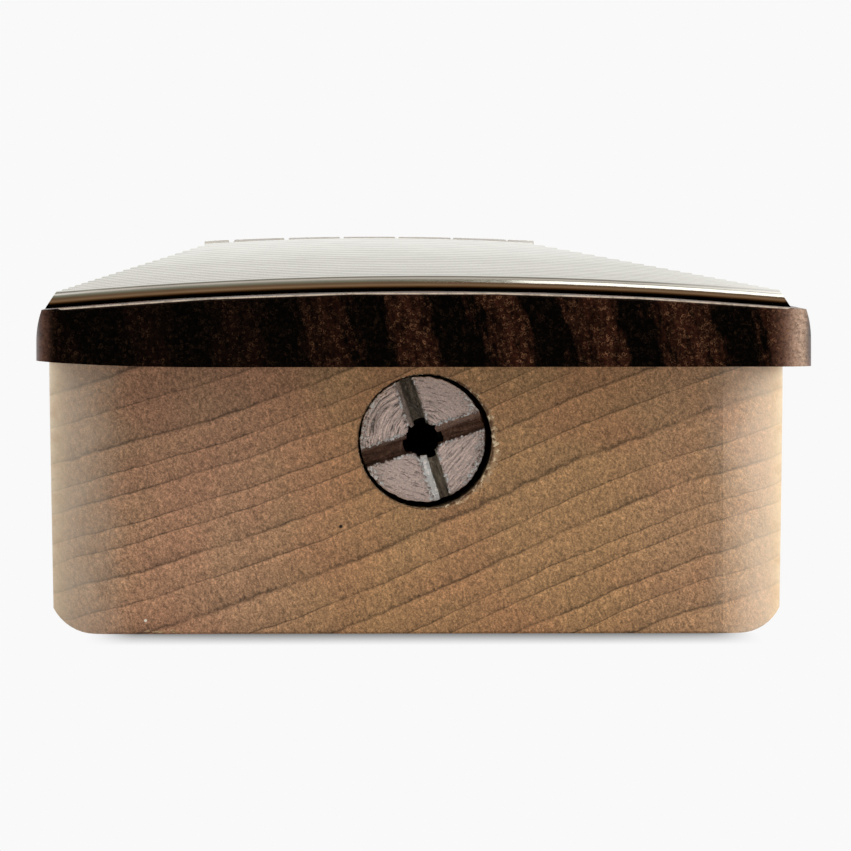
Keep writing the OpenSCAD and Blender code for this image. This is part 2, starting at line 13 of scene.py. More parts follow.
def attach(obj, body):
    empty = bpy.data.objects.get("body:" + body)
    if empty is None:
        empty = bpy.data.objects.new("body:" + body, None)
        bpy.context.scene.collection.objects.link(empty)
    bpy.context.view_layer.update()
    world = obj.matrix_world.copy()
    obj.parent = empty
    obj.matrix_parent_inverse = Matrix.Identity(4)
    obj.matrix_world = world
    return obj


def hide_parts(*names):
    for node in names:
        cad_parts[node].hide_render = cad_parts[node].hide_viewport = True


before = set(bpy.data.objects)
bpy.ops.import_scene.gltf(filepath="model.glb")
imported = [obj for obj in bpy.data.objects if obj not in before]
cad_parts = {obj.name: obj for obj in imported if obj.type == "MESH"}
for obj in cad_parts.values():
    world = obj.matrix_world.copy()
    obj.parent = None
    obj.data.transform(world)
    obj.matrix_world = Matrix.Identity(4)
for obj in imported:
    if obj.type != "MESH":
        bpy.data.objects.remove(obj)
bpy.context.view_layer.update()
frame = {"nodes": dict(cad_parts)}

log = logging.getLogger("neck")

MM = 0.001
# Sizes in mm: x runs across the board, y along it from the heel, z up from the heel's back.
HEEL_END = -40.4
BOARD_END = -49.4
BORE_X, BORE_Z, BORE_R = 0.18, 14.23, 4.975
# The span that most of a cloud's tone lies in.
CLOUD_SPAN = (0.3, 0.7)

Colour = Tuple[float, float, float]
Point = Tuple[float, float, float]
Pair = Tuple[float, float]
Feed = Union["Wire", bpy.types.NodeSocket, float, int, Sequence[float]]
Stops = Sequence[Tuple[float, Union[float, Colour]]]


def paint(red: float, green: float, blue: float) -> Colour:
    """Turns 0 to 255 display values into the linear colour that the shaders take.

    Args:
        red: Red, 0 to 255.
        green: Green, 0 to 255.
        blue: Blue, 0 to 255.

    Returns:
        The linear red, green and blue.
    """
    def linear(value: float) -> float:
        """Undoes the display curve for one channel."""
        share = value / 255.0
        return share / 12.92 if share <= 0.04045 else ((share + 0.055) / 1.055) ** 2.4
    return (linear(red), linear(green), linear(blue))


@dataclass(frozen=True)
class Wire:
    """A value on its way through the nodes, which sums as a number does."""

    bench: "NodeBench"
    socket: bpy.types.NodeSocket

    def __add__(self, other: Feed) -> "Wire":
        """Adds a number or another wire."""
        return self.bench.calc("ADD", self, other)

    def __sub__(self, other: Feed) -> "Wire":
        """Takes away a number or another wire."""
        return self.bench.calc("SUBTRACT", self, other)

    def __rsub__(self, other: float) -> "Wire":
        """Takes the wire away from a number."""
        return self.bench.calc("SUBTRACT", other, self)

    def __mul__(self, other: Feed) -> "Wire":
        """Multiplies by a number or another wire."""
        return self.bench.calc("MULTIPLY", self, other)

    def __abs__(self) -> "Wire":
        """Drops the sign."""
        return self.bench.calc("ABSOLUTE", self)

    def fit(self, low: float, high: float, to_low: float = 0.0, to_high: float = 1.0,
            easing: str = "SMOOTHSTEP") -> "Wire":
        """Maps a span of values onto another, and holds it at both ends.

        Args:
            low: Start of the span.
            high: End of the span.
            to_low: Result at the start.
            to_high: Result at the end.
            easing: Blender's name for the way between.

        Returns:
            The mapped value.
        """
        node = self.bench.node("ShaderNodeMapRange", clamp=True, interpolation_type=easing)
        for name, number in (("Value", self), ("From Min", low), ("From Max", high),
                             ("To Min", to_low), ("To Max", to_high)):
            self.bench.feed(node.inputs[name], number)
        return Wire(self.bench, node.outputs[0])

    def line(self, low: float, high: float, to_low: float = 0.0,
             to_high: float = 1.0) -> "Wire":
        """Maps a span of values onto another in a straight line."""
        return self.fit(low, high, to_low, to_high, "LINEAR")

    def fall(self, low: float, high: float) -> "Wire":
        """Falls softly from 1 to 0 over a span of values."""
        return self.fit(low, high, 1.0, 0.0)

    def tones(self, dark: float, bright: float) -> "Wire":
        """Maps the span that most of a cloud's tone lies in onto another."""
        return self.line(*CLOUD_SPAN, dark, bright)


@dataclass(frozen=True)
class Spot:
    """The place on a piece, in millimetres in its own axes."""

    bench: "NodeBench"
    place: Wire
    x: Wire
    y: Wire
    z: Wire

    def stretched(self, x: float, y: float, z: float) -> Wire:
        """Gives the place with each of its numbers scaled by its own share."""
        return self.bench.join(self.x * x, self.y * y, self.z * z)

    def streaks(self, scales: Point, detail: float = 2.0, rough: float = 0.5) -> Wire:
        """Gives soft random tone, drawn out the way the place is scaled least."""
        return self.bench.cloud(self.stretched(*scales), 1.0, detail, rough)

    def speckle(self, seed: float, scale: float, detail: float = 2.0,
                rough: float = 0.5) -> Wire:
        """Gives soft random tone over a cut end."""
        return self.bench.cloud(self.bench.join(self.x, self.z, seed), scale, detail, rough)

    def slits(self, across: float, along: float, wall: Pair, few: Pair) -> Wire:
        """Scatters short slits that run with the grain: 1 in a slit, 0 outside."""
        reach, pick = self.bench.cells(self.stretched(across, along, across), 1.0)
        return reach.fall(*wall) * pick.fit(*few)

    def turned(self, degrees: float, mid_z: float = 0.0) -> Tuple[Wire, Wire]:
        """Gives the place on a cut end in axes turned about a line along the neck.

        Args:
            degrees: Turn of the axes, anticlockwise.
            mid_z: Height of the line they turn about.

        Returns:
            The place along the turned level axis, and along the turned upright one.
        """
        turn, up = math.radians(degrees), self.z - mid_z
        return (self.x * math.cos(turn) + up * math.sin(turn),
                self.x * -math.sin(turn) + up * math.cos(turn))

    def reach(self, x: float, z: float) -> Wire:
        """Gives the distance from a line along the neck."""
        right, up = self.x - x, self.z - z
        return self.bench.calc("SQRT", right * right + up * up)


class NodeBench:
    """Lays out and wires shader nodes for one material or world."""

    def __init__(self, tree: bpy.types.NodeTree) -> None:
        """Takes an empty node tree."""
        self.tree = tree
        self.made = 0

    def node(self, kind: str, **settings: object) -> bpy.types.Node:
        """Adds one node.

        Args:
            kind: Blender's name for the node type.
            **settings: Properties to set on the node.

        Returns:
            The new node.
        """
        new = self.tree.nodes.new(kind)
        for name, value in settings.items():
            setattr(new, name, value)
        new.location = (220 * (self.made % 12), -260 * (self.made // 12))
        self.made += 1
        return new

    def feed(self, socket: bpy.types.NodeSocket, value: Feed) -> None:
        """Links a socket, or sets it to a fixed value.

        Args:
            socket: The input to fill.
            value: Another node's output, a number, or a tuple of numbers.
        """
        if isinstance(value, Wire):
            value = value.socket
        if isinstance(value, bpy.types.NodeSocket):
            self.tree.links.new(value, socket)
        elif isinstance(value, (int, float)):
            socket.default_value = value
        else:
            size = len(socket.default_value)
            socket.default_value = tuple(value) + (1.0,) * (size - len(value))

    def filled(self, kind: str, *values: Feed, **settings: object) -> Wire:
        """Adds one node and fills its inputs in their order.

        Args:
            kind: Blender's name for the node type.
            *values: What its inputs take.
            **settings: Properties to set on the node.

        Returns:
            Its first output.
        """
        node = self.node(kind, **settings)
        for socket, value in zip(node.inputs, values):
            self.feed(socket, value)
        return Wire(self, node.outputs[0])

    def calc(self, operation: str, *terms: Feed) -> Wire:
        """Does one of Blender's sums on numbers."""
        return self.filled("ShaderNodeMath", *terms, operation=operation)

    def join(self, x: Feed, y: Feed, z: Feed = 0.0) -> Wire:
        """Makes one vector of three numbers."""
        return self.filled("ShaderNodeCombineXYZ", x, y, z)

    def split(self, vector: Feed) -> Tuple[Wire, ...]:
        """Takes a vector apart.

        Args:
            vector: The vector.

        Returns:
            Its x, y and z.
        """
        node = self.node("ShaderNodeSeparateXYZ")
        self.feed(node.inputs[0], vector)
        return tuple(Wire(self, part) for part in node.outputs)

    def spot(self) -> Spot:
        """Gives the place on the piece in millimetres, in its own axes.

        Returns:
            The place.
        """
        scaled = self.node("ShaderNodeVectorMath", operation="SCALE")
        self.feed(scaled.inputs[0], self.node("ShaderNodeTexCoord").outputs["Object"])
        self.feed(scaled.inputs["Scale"], 1.0 / MM)
        place = Wire(self, scaled.outputs[0])
        return Spot(self, place, *self.split(place))

    def facing(self) -> Tuple[Wire, ...]:
        """Gives which way the face looks, in the piece's own axes."""
        return self.split(self.node("ShaderNodeTexCoord").outputs["Normal"])

    def cloud(self, place: Feed, scale: float, detail: float = 2.0,
              rough: float = 0.5) -> Wire:
        """Gives soft random tone about 0.5.

        Args:
            place: Where on the piece.
            scale: Lumps to a unit.
            detail: How many finer layers are added.
            rough: How strong the finer layers are.

        Returns:
            The tone.
        """
        node = self.node("ShaderNodeTexNoise")
        for name, value in (("Vector", place), ("Scale", scale), ("Detail", detail),
                            ("Roughness", rough)):
            self.feed(node.inputs[name], value)
        return Wire(self, node.outputs["Fac"])

    def cells(self, place: Feed, scale: float, space: str = "3D") -> Tuple[Wire, Wire]:
        """Scatters points, one to a cell.

        Args:
            place: Where on the piece.
            scale: Cells to a unit.
            space: 2D where the points lie on a plane, 3D where they fill space.

        Returns:
            The distance to the nearest point, and a random number for its cell.
        """
        node = self.node("ShaderNodeTexVoronoi", voronoi_dimensions=space, feature="F1")
        for name, value in (("Vector", place), ("Scale", scale), ("Randomness", 1.0)):
            self.feed(node.inputs[name], value)
        return (Wire(self, node.outputs["Distance"]),
                self.filled("ShaderNodeSeparateColor", node.outputs["Color"]))

    def ramp(self, value: Feed, stops: Stops) -> Wire:
        """Runs a value through a band of colours or greys.

        Args:
            value: Place along the band, 0 to 1.
            stops: Pairs of place and colour, or of place and grey.

        Returns:
            The colour at that place.
        """
        node = self.node("ShaderNodeValToRGB")
        band = node.color_ramp
        while len(band.elements) < len(stops):
            band.elements.new(0.5)
        for element, (place, tone) in zip(band.elements, stops):
            element.position = place
            element.color = (tone,) * 3 + (1.0,) if isinstance(tone, float) else (*tone, 1.0)
        self.feed(node.inputs[0], value)
        return Wire(self, node.outputs[0])

    def mix(self, share: Feed, first: Feed, second: Feed, blend: str = "MIX") -> Wire:
        """Mixes two colours.

        Args:
            share: How much of the second, 0 to 1.
            first: First colour.
            second: Second colour.
            blend: How they are combined.

        Returns:
            The mixed colour.
        """
        node = self.node("ShaderNodeMix", data_type="RGBA", blend_type=blend)
        for number, value in ((0, share), (6, first), (7, second)):
            self.feed(node.inputs[number], value)
        return Wire(self, node.outputs[2])

    def tint(self, colour: Feed, by: Feed) -> Wire:
        """Multiplies a colour by another."""
        return self.mix(1.0, colour, by, "MULTIPLY")

    def shade(self, colour: Feed, tone: Feed) -> Wire:
        """Darkens or lightens a colour by a number, where 1 leaves it as it is."""
        return self.tint(colour, self.join(tone, tone, tone))

    def relief(self, height_mm: Feed, strength: float) -> Wire:
        """Turns a height into a tilted surface direction.

        Args:
            height_mm: Height in millimetres.
            strength: How much of it is felt, 0 to 1.

        Returns:
            The surface direction.
        """
        node = self.node("ShaderNodeBump")
        for name, value in (("Strength", strength), ("Distance", MM), ("Height", height_mm)):
            self.feed(node.inputs[name], value)
        return Wire(self, node.outputs[0])

    def seen(self) -> Wire:
        """Tells what is looked at, by eye, mirror or glass, from what lights other things.

        Returns:
            1 where it is looked at, 0 where it gives light.
        """
        paths = self.node("ShaderNodeLightPath").outputs
        return self.calc("MAXIMUM", paths["Is Camera Ray"], self.calc(
            "MAXIMUM", paths["Is Glossy Ray"], paths["Is Transmission Ray"]))

    def end(self, shader: Feed, kind: str = "Material") -> None:
        """Ends the tree with its shader."""
        self.feed(self.node(f"ShaderNodeOutput{kind}").inputs["Surface"], shader)

    def surface(self, colour: Feed, rough: Feed, **others: Feed) -> None:
        """Ends a material with its surface shader.

        Args:
            colour: Base colour.
            rough: Roughness.
            **others: More of the shader's sockets, by name with _ for spaces.
        """
        body = self.node("ShaderNodeBsdfPrincipled")
        for name, value in (("Base Color", colour), ("Roughness", rough), *others.items()):
            self.feed(body.inputs[name.replace("_", " ")], value)
        self.end(body.outputs[0])


class Finish:
    """What every finish shares: a name and a way to be put on pieces."""

    label = "finish"

    def lay_out(self, bench: NodeBench) -> None:
        """Fills the finish's node tree; each finish has its own."""
        raise NotImplementedError

    def material(self) -> bpy.types.Material:
        """Makes the finish once and gives it again when asked again.

        Returns:
            The finish as a material.
        """
        held = bpy.data.materials.get(self.label)
        if held is None:
            held = bpy.data.materials.new(self.label)
            held.use_nodes = True
            held.node_tree.nodes.clear()
            self.lay_out(NodeBench(held.node_tree))
        return held

    def put_on(self, *pieces: bpy.types.Object) -> None:
        """Gives the finish to whole pieces.

        Args:
            *pieces: The pieces.
        """
        for piece in pieces:
            piece.data.materials.clear()
            piece.data.materials.append(self.material())


@dataclass(frozen=True)
class Maple(Finish):
    """Maple: sawn end grain with growth rings, and satin long grain."""

    label: str = "maple_grain"
    end_tone: Colour = paint(178, 138, 104)
    end_warm: Colour = paint(180, 134, 102)
    honey: Colour = (1.0, 0.985, 0.80)
    # Tone of the rounded corners of the end: the sanded wood, paler and greyer, partly painted
    # sheen.
    corner: Colour = paint(224, 208, 186)
    long_tone: Colour = paint(224, 199, 160)
    long_dark: Colour = paint(205, 172, 128)
    # Worm hole: a near-black dot of painted shade, where the end shows a small hole.
    worm_hole: Pair = (-6.06, 7.94)
    worm_r: float = 0.17
    worm_hole_shade: Colour = (0.003, 0.002, 0.002)
    chip: Pair = (-20.5, 1.0)
    chip_r: float = 0.14
    chip_pale: Colour = (0.9, 0.84, 0.72)
    ring_gap: float = 2.143
    ring_start: float = 3.334
    ring_lean: float = 0.375
    ring_drift: float = 0.006
    bend_rate: float = 0.12566
    bend_start: float = -0.503
    bend_size: float = 0.676
    waves: Sequence[Point] = ((17.349, 0.268, 0.292), (4.938, 0.136, -0.551))
    fibre_ahead: float = 0.94
    fibre_aside: float = 0.34
    corner_middle: float = -0.6
    corner_span: Pair = (20.6, 26.6)
    end_bands: Stops = ((0.0, 0.38), (0.025, 0.42), (0.07, 0.80), (0.3, 0.92), (0.75, 1.04),
                        (0.96, 1.15), (1.0, 0.70))
    long_bands: Stops = ((0.0, 0.84), (0.06, 0.93), (0.4, 0.98), (1.0, 1.02))

    def ring_count(self, spot: Spot) -> Wire:
        """Counts the growth rings from the bottom of the heel up.

        Args:
            spot: The place on the piece.

        Returns:
            A number that grows by one with each ring.
        """
        bench = spot.bench
        bend = bench.calc("SINE", spot.x * self.bend_rate + self.bend_start)
        wander = spot.streaks((0.13, 0.004, 0.13), 3.0) * 1.1 - 0.55
        drift = (spot.y - HEEL_END) * self.ring_drift
        level = spot.z - (bend * self.bend_size + spot.x * self.ring_lean) + wander + drift
        count = level * (1 / self.ring_gap) + self.ring_start
        for reach, size, start in self.waves:
            count = bench.calc("SINE", level * (2 * math.pi / reach) + start) * size + count
        return count

    def fibres(self, spot: Spot) -> Wire:
        """Draws the short crumpled fibre ends that stand across the rings.

        Args:
            spot: The place on the piece.

        Returns:
            A number about 0.5.
        """
        bench, x, z = spot.bench, spot.x, spot.z
        bend = spot.speckle(0.0, 0.9, 3.0, 0.65) * 1.1 - 0.55
        sway = bench.cloud(bench.join(z, x, 4.0), 1.6) * 0.5 - 0.25
        along = x * self.fibre_ahead + z * self.fibre_aside + bend
        across = z * self.fibre_ahead + x * -self.fibre_aside + sway
        return bench.cloud(bench.join(along * 4.6, across * 2.1), 1.0, 3.0, 0.72)

    def blemish(self, spot: Spot, middle: Pair, wide: float) -> Wire:
        """Marks a small round blemish in the sawn end: 1 in it, 0 outside."""
        return (spot.reach(*middle).fall(wide * 0.5, wide)
                * spot.y.fall(HEEL_END + 0.8, HEEL_END + 1.4))

    def end_grain(self, spot: Spot, ring: Wire) -> Tuple[Wire, Wire]:
        """Paints the sawn end: rings, rays, fibre ends, a pale chip, and painted shade in a small
        hole and towards the upper left.

        Args:
            spot: The place on the piece.
            ring: Share of the way through a ring, 0 at its dark line.

        Returns:
            The colour, and the height in mm.
        """
        bench, x, z = spot.bench, spot.x, spot.z
        patch = bench.cloud(spot.place, 0.11)
        base = bench.mix(patch.fit(0.4, 0.62), self.end_tone, self.end_warm)
        golden = x.fit(-15.0, -3.0) * x.fit(13.0, 20.0, 1.0, 0.4)
        base = bench.mix(golden, base, bench.tint(base, self.honey))
        fuzz = self.fibres(spot)
        fine = bench.cloud(spot.place, 8.5, 2.0, 0.75)
        jag = fuzz * 0.10 + (spot.speckle(13.0, 1.15, 2.0, 0.6) * 0.12 - 0.11)
        toned = bench.ramp(bench.calc("FRACT", ring + jag), self.end_bands)
        faded = spot.speckle(17.0, 0.22).fit(0.36, 0.56, 0.6, 1.0)
        base = bench.mix(faded, base, bench.tint(base, toned))
        rays = bench.cloud(bench.join(x * 1.5 + z * 0.55, z * 0.12, 9.0), 1.0, 3.0, 0.6)
        # The last tone is painted shade: the end darkens to 0.84 of its tone towards its upper
        # left, away from the light.
        for tone in (rays.tones(0.90, 1.10), fuzz.tones(0.50, 1.38),
                     fine.tones(0.52, 1.42), (x - z * 0.9).fit(-38.0, -22.0, 0.84)):
            base = bench.shade(base, tone)
        # The worm hole's near-black is painted shade of a small hole. The chip is a pale fleck of
        # bare wood.
        for middle, wide, tint in ((self.worm_hole, self.worm_r, self.worm_hole_shade),
                                   (self.chip, self.chip_r, self.chip_pale)):
            base = bench.mix(self.blemish(spot, middle, wide), base, tint)
        return base, fine * 0.02 + fuzz * 0.04

    def long_grain(self, spot: Spot, ring: Wire) -> Tuple[Wire, Wire]:
        """Paints the faces along the neck: streaks, flecks and faint ring lines.

        Args:
            spot: The place on the piece.
            ring: Share of the way through a ring, 0 at its dark line.

        Returns:
            The colour, and the height in mm.
        """
        bench = spot.bench
        streak = spot.streaks((0.9, 0.02, 0.9), 5.0, 0.62)
        base = bench.mix(streak.fit(0.38, 0.72), self.long_tone, self.long_dark)
        base = bench.tint(base, bench.ramp(ring, self.long_bands))
        pull = spot.streaks((4.5, 0.12, 4.5), 3.0, 0.6)
        flecks = spot.slits(1.1, 0.16, (0.10, 0.16), (0.55, 0.6))
        curl = spot.streaks((0.05, 0.14, 0.05))
        for tone in (pull.tones(0.93, 1.05), flecks * -0.16 + 1.0,
                     curl.tones(0.96, 1.04)):
            base = bench.shade(base, tone)
        return base, pull * 0.012

    def lay_out(self, bench: NodeBench) -> None:
        """Wires the whole finish.

        Args:
            bench: Where the nodes go.
        """
        spot = bench.spot()
        ring = bench.calc("FRACT", self.ring_count(spot))
        end, end_height = self.end_grain(spot, ring)
        side, side_height = self.long_grain(spot, ring)
        sawn = abs(bench.facing()[1]).fit(0.12, 0.75)
        # Beyond the creases the rounded corners take the paler corner tone: partly sanded wood,
        # partly painted sheen.
        aside = abs(spot.x - self.corner_middle) - 1.5
        aside = spot.speckle(21.0, 0.6, 4.0, 0.65) * 3.0 + aside
        sanded_and_sheen = bench.mix(0.62, end, bench.mix(0.25, self.corner, end, "MULTIPLY"))
        end = bench.mix(aside.fit(*self.corner_span), end, sanded_and_sheen)
        height = (end_height - side_height) * sawn + side_height
        bench.surface(bench.mix(sawn, side, end), sawn * 0.3 + 0.36,
                      Normal=bench.relief(height, 0.7), Specular_IOR_Level=0.35)


@dataclass(frozen=True)
class Rosewood(Finish):
    """Dark open-pored board: near-black end grain, red-brown faces."""

    label: str = "rosewood_grain"
    black: Colour = paint(4, 3, 2)
    brown: Colour = paint(50, 25, 16)
    pore: Colour = paint(146, 104, 74)
    corner: Colour = paint(112, 80, 66)
    # Pale of the right corner's edge, partly painted light.
    corner_pale: Colour = paint(186, 160, 140)
    # Pale of the worn top edge, partly a painted highlight.
    worn: Colour = paint(200, 182, 162)
    face: Colour = paint(92, 60, 47)
    face_dark: Colour = paint(44, 27, 21)
    band_gap: float = 6.65
    band_start: float = -2.6
    band_lean: float = 0.22
    pore_sizes: Sequence[Sequence[float]] = ((2.9, 0.30, 0.11, 0.25, 0.0),
                                             (4.1, 0.30, 0.14, 0.45, 7.3),
                                             (2.2, 0.24, 0.08, 0.55, 3.1))

    def pores(self, spot: Spot) -> Wire:
        """Scatters the open pores, each a crumpled and broken ring.

        Args:
            spot: The place on the piece.

        Returns:
            How strongly each place shows a pore's rim, 0 to 1.
        """
        bench, x, z = spot.bench, spot.x, spot.z
        bent = spot.speckle(2.0, 3.2, 2.0, 0.6) * 0.34 + (x - 0.17)
        level = bench.cloud(bench.join(z, x, 5.0), 3.2, 2.0, 0.6) * 0.34 + (z - 0.17)
        shown = 0.0
        for scale, size, wall, few, shift in self.pore_sizes:
            reach, pick = bench.cells(bench.join(bent + shift, level), scale, "2D")
            hoop = (abs(reach - size).fall(wall * 0.25, wall)
                    * pick.fit(few, few + 0.5))
            shown = bench.calc("MAXIMUM", shown, hoop)
        return shown * spot.speckle(11.0, 2.6, 3.0, 0.7).fit(0.42, 0.62, 0.12)

    def end_grain(self, spot: Spot) -> Wire:
        """Paints the end: upright dark and brown bands with ring-shaped pores.

        Args:
            spot: The place on the piece.

        Returns:
            The colour.
        """
        bench, x, z = spot.bench, spot.x, spot.z
        lean = z * self.band_lean + x
        sway = bench.cloud(bench.join(lean * 0.25, z * 0.10, 3.0), 1.0, 3.0)
        turn = lean * (2 * math.pi / self.band_gap) + self.band_start + (sway * 4.0 - 2.0)
        fine = bench.cloud(bench.join(lean * 1.6, z * 0.45, 8.0), 1.0, 4.0, 0.7)
        band = bench.calc("SINE", turn) * 0.4 + 0.5 + (fine * 2.2 - 1.1)
        share = band.line(0.35, 1.05) * x.fit(-16.0, 4.0, 0.14)
        corner = bench.calc("MAXIMUM", x.fall(-28.4, -26.9), x.fit(25.0, 27.2))
        grit = spot.speckle(1.0, 5.5, 3.0, 0.75)
        base = bench.shade(bench.mix(share, self.black, self.brown),
                           grit.line(0.32, 0.68, 0.20, 1.5))
        # The rounded corners are rubbed lighter, and the right one pales towards its edge: partly
        # wear, partly painted light from the right.
        rubbed = bench.mix(x.fit(25.8, 28.4), self.corner, self.corner_pale)
        base = bench.mix(corner, base, bench.shade(rubbed, grit.tones(0.40, 1.5)))
        return bench.mix(self.pores(spot) * (share * 0.62 + 0.05), base, self.pore)

    def faces(self, spot: Spot) -> Tuple[Wire, Wire]:
        """Paints the top and sides: long streaks and open pores along the board.

        Args:
            spot: The place on the piece.

        Returns:
            The colour, and the height in mm.
        """
        bench = spot.bench
        streak = spot.streaks((0.42, 0.009, 0.42), 5.0, 0.62)
        base = bench.mix(streak.fit(0.36, 0.66), self.face, self.face_dark)
        fine = spot.streaks((3.0, 0.06, 3.0), 4.0, 0.65)
        base = bench.shade(base, fine.tones(0.78, 1.2))
        slit = spot.slits(2.4, 0.24, (0.12, 0.24), (0.3, 0.45))
        return bench.shade(base, slit * -0.6 + 1.0), slit * -0.05

    def lay_out(self, bench: NodeBench) -> None:
        """Wires the whole finish.

        Args:
            bench: Where the nodes go.
        """
        spot = bench.spot()
        _, facing_y, facing_z = bench.facing()
        turned = abs(facing_y)
        side, height = self.faces(spot)
        sawn = turned.fit(0.3, 0.8)
        colour = bench.mix(sawn, side, self.end_grain(spot))
        # A thin pale line along the top edge of the end: partly wear, partly a painted highlight
        # of the light it catches at a graze.
        worn = (facing_z.fit(0.45, 0.62) * turned.fit(0.45, 0.62)
                * spot.y.fit(BOARD_END + 0.09, BOARD_END + 0.14))
        patchy = spot.speckle(0.0, 1.3, 4.0, 0.7).fit(0.36, 0.55, 0.6)
        colour = bench.mix(worn * patchy, colour, self.worn)
        bench.surface(colour, sawn * 0.5 + 0.36, Normal=bench.relief(height, 0.8),
                      Specular_IOR_Level=sawn.fit(0.0, 1.0, 0.24, 0.015))


@dataclass(frozen=True)
class Walnut(Finish):
    """Walnut of the strip down the back and of the plug over the rod's far end."""

    label: str = "walnut_grain"
    tone: Colour = paint(112, 74, 50)
    dark: Colour = paint(66, 41, 28)

    def lay_out(self, bench: NodeBench) -> None:
        """Wires the whole finish.

        Args:
            bench: Where the nodes go.
        """
        spot = bench.spot()
        streak = spot.streaks((1.3, 0.03, 1.3), 5.0, 0.6)
        colour = bench.mix(streak.fit(0.36, 0.68), self.tone, self.dark)
        slit = spot.slits(2.6, 0.3, (0.12, 0.22), (0.4, 0.5))
        bench.surface(bench.shade(colour, slit * -0.45 + 1.0), 0.38,
                      Normal=bench.relief(slit * -0.03, 0.6), Specular_IOR_Level=0.35)


@dataclass(frozen=True)
class TornMaple(Finish):
    """Broken maple fibres: darker against the bore, pale where they tore."""

    label: str = "torn_maple"
    bore_edge_tone: Colour = paint(96, 68, 46)
    tone: Colour = paint(176, 142, 106)
    pale: Colour = paint(228, 208, 172)

    def lay_out(self, bench: NodeBench) -> None:
        """Wires the whole finish.

        Args:
            bench: Where the nodes go.
        """
        spot = bench.spot()
        fuzz = bench.cloud(spot.place, 2.6, 4.0, 0.7)
        reach = spot.reach(BORE_X, BORE_Z) - BORE_R + (fuzz * 0.7 - 0.35)
        # Darker towards the bore's edge.
        colour = bench.mix(reach.fit(0.02, 0.26), self.bore_edge_tone, self.tone)
        colour = bench.mix(fuzz.fit(0.5, 0.62), colour, self.pale)
        bench.surface(colour, 0.75, Normal=bench.relief(fuzz * 0.08, 0.8),
                      Specular_IOR_Level=0.25)


@dataclass(frozen=True)
class FretWire(Finish):
    """Polished nickel-silver wire, duller towards the body."""

    label: str = "fret_wire"
    dull: Colour = paint(229, 227, 220)
    bright: Colour = paint(233, 232, 227)

    def lay_out(self, bench: NodeBench) -> None:
        """Wires the whole finish.

        Args:
            bench: Where the nodes go.
        """
        spot = bench.spot()
        colour = bench.mix(spot.y.line(-40.0, 240.0), self.dull, self.bright)
        colour = bench.shade(colour, spot.streaks((0.3, 1.0, 1.0), 3.0).tones(0.95, 1.04))
        scratch = spot.streaks((0.8, 14.0, 14.0))
        bench.surface(colour, scratch.line(0.35, 0.75, 0.06, 0.13),
                      Normal=bench.relief(scratch * 0.002, 0.5), Metallic=1.0)


@dataclass(frozen=True)
class SlotSpot:
    """The place on the adjuster, told by its crossed slots."""

    spot: Spot
    out: Wire
    along: Wire
    across: Wire
    deep: Wire

    def near(self) -> Wire:
        """Gives the distance from the middle line of the nearest slot."""
        return self.spot.bench.calc("MINIMUM", abs(self.along), abs(self.across))

    def far(self) -> Wire:
        """Gives the distance along the nearest slot."""
        return self.spot.bench.calc("MAXIMUM", abs(self.along), abs(self.across))

    def quarter(self, right: int, up: int) -> Wire:
        """Marks the quarter of the face on one side of each slot, 1 or -1 for each."""
        return (self.along.fit(-0.3 * right, 0.3 * right)
                * self.across.fit(-0.3 * up, 0.3 * up))


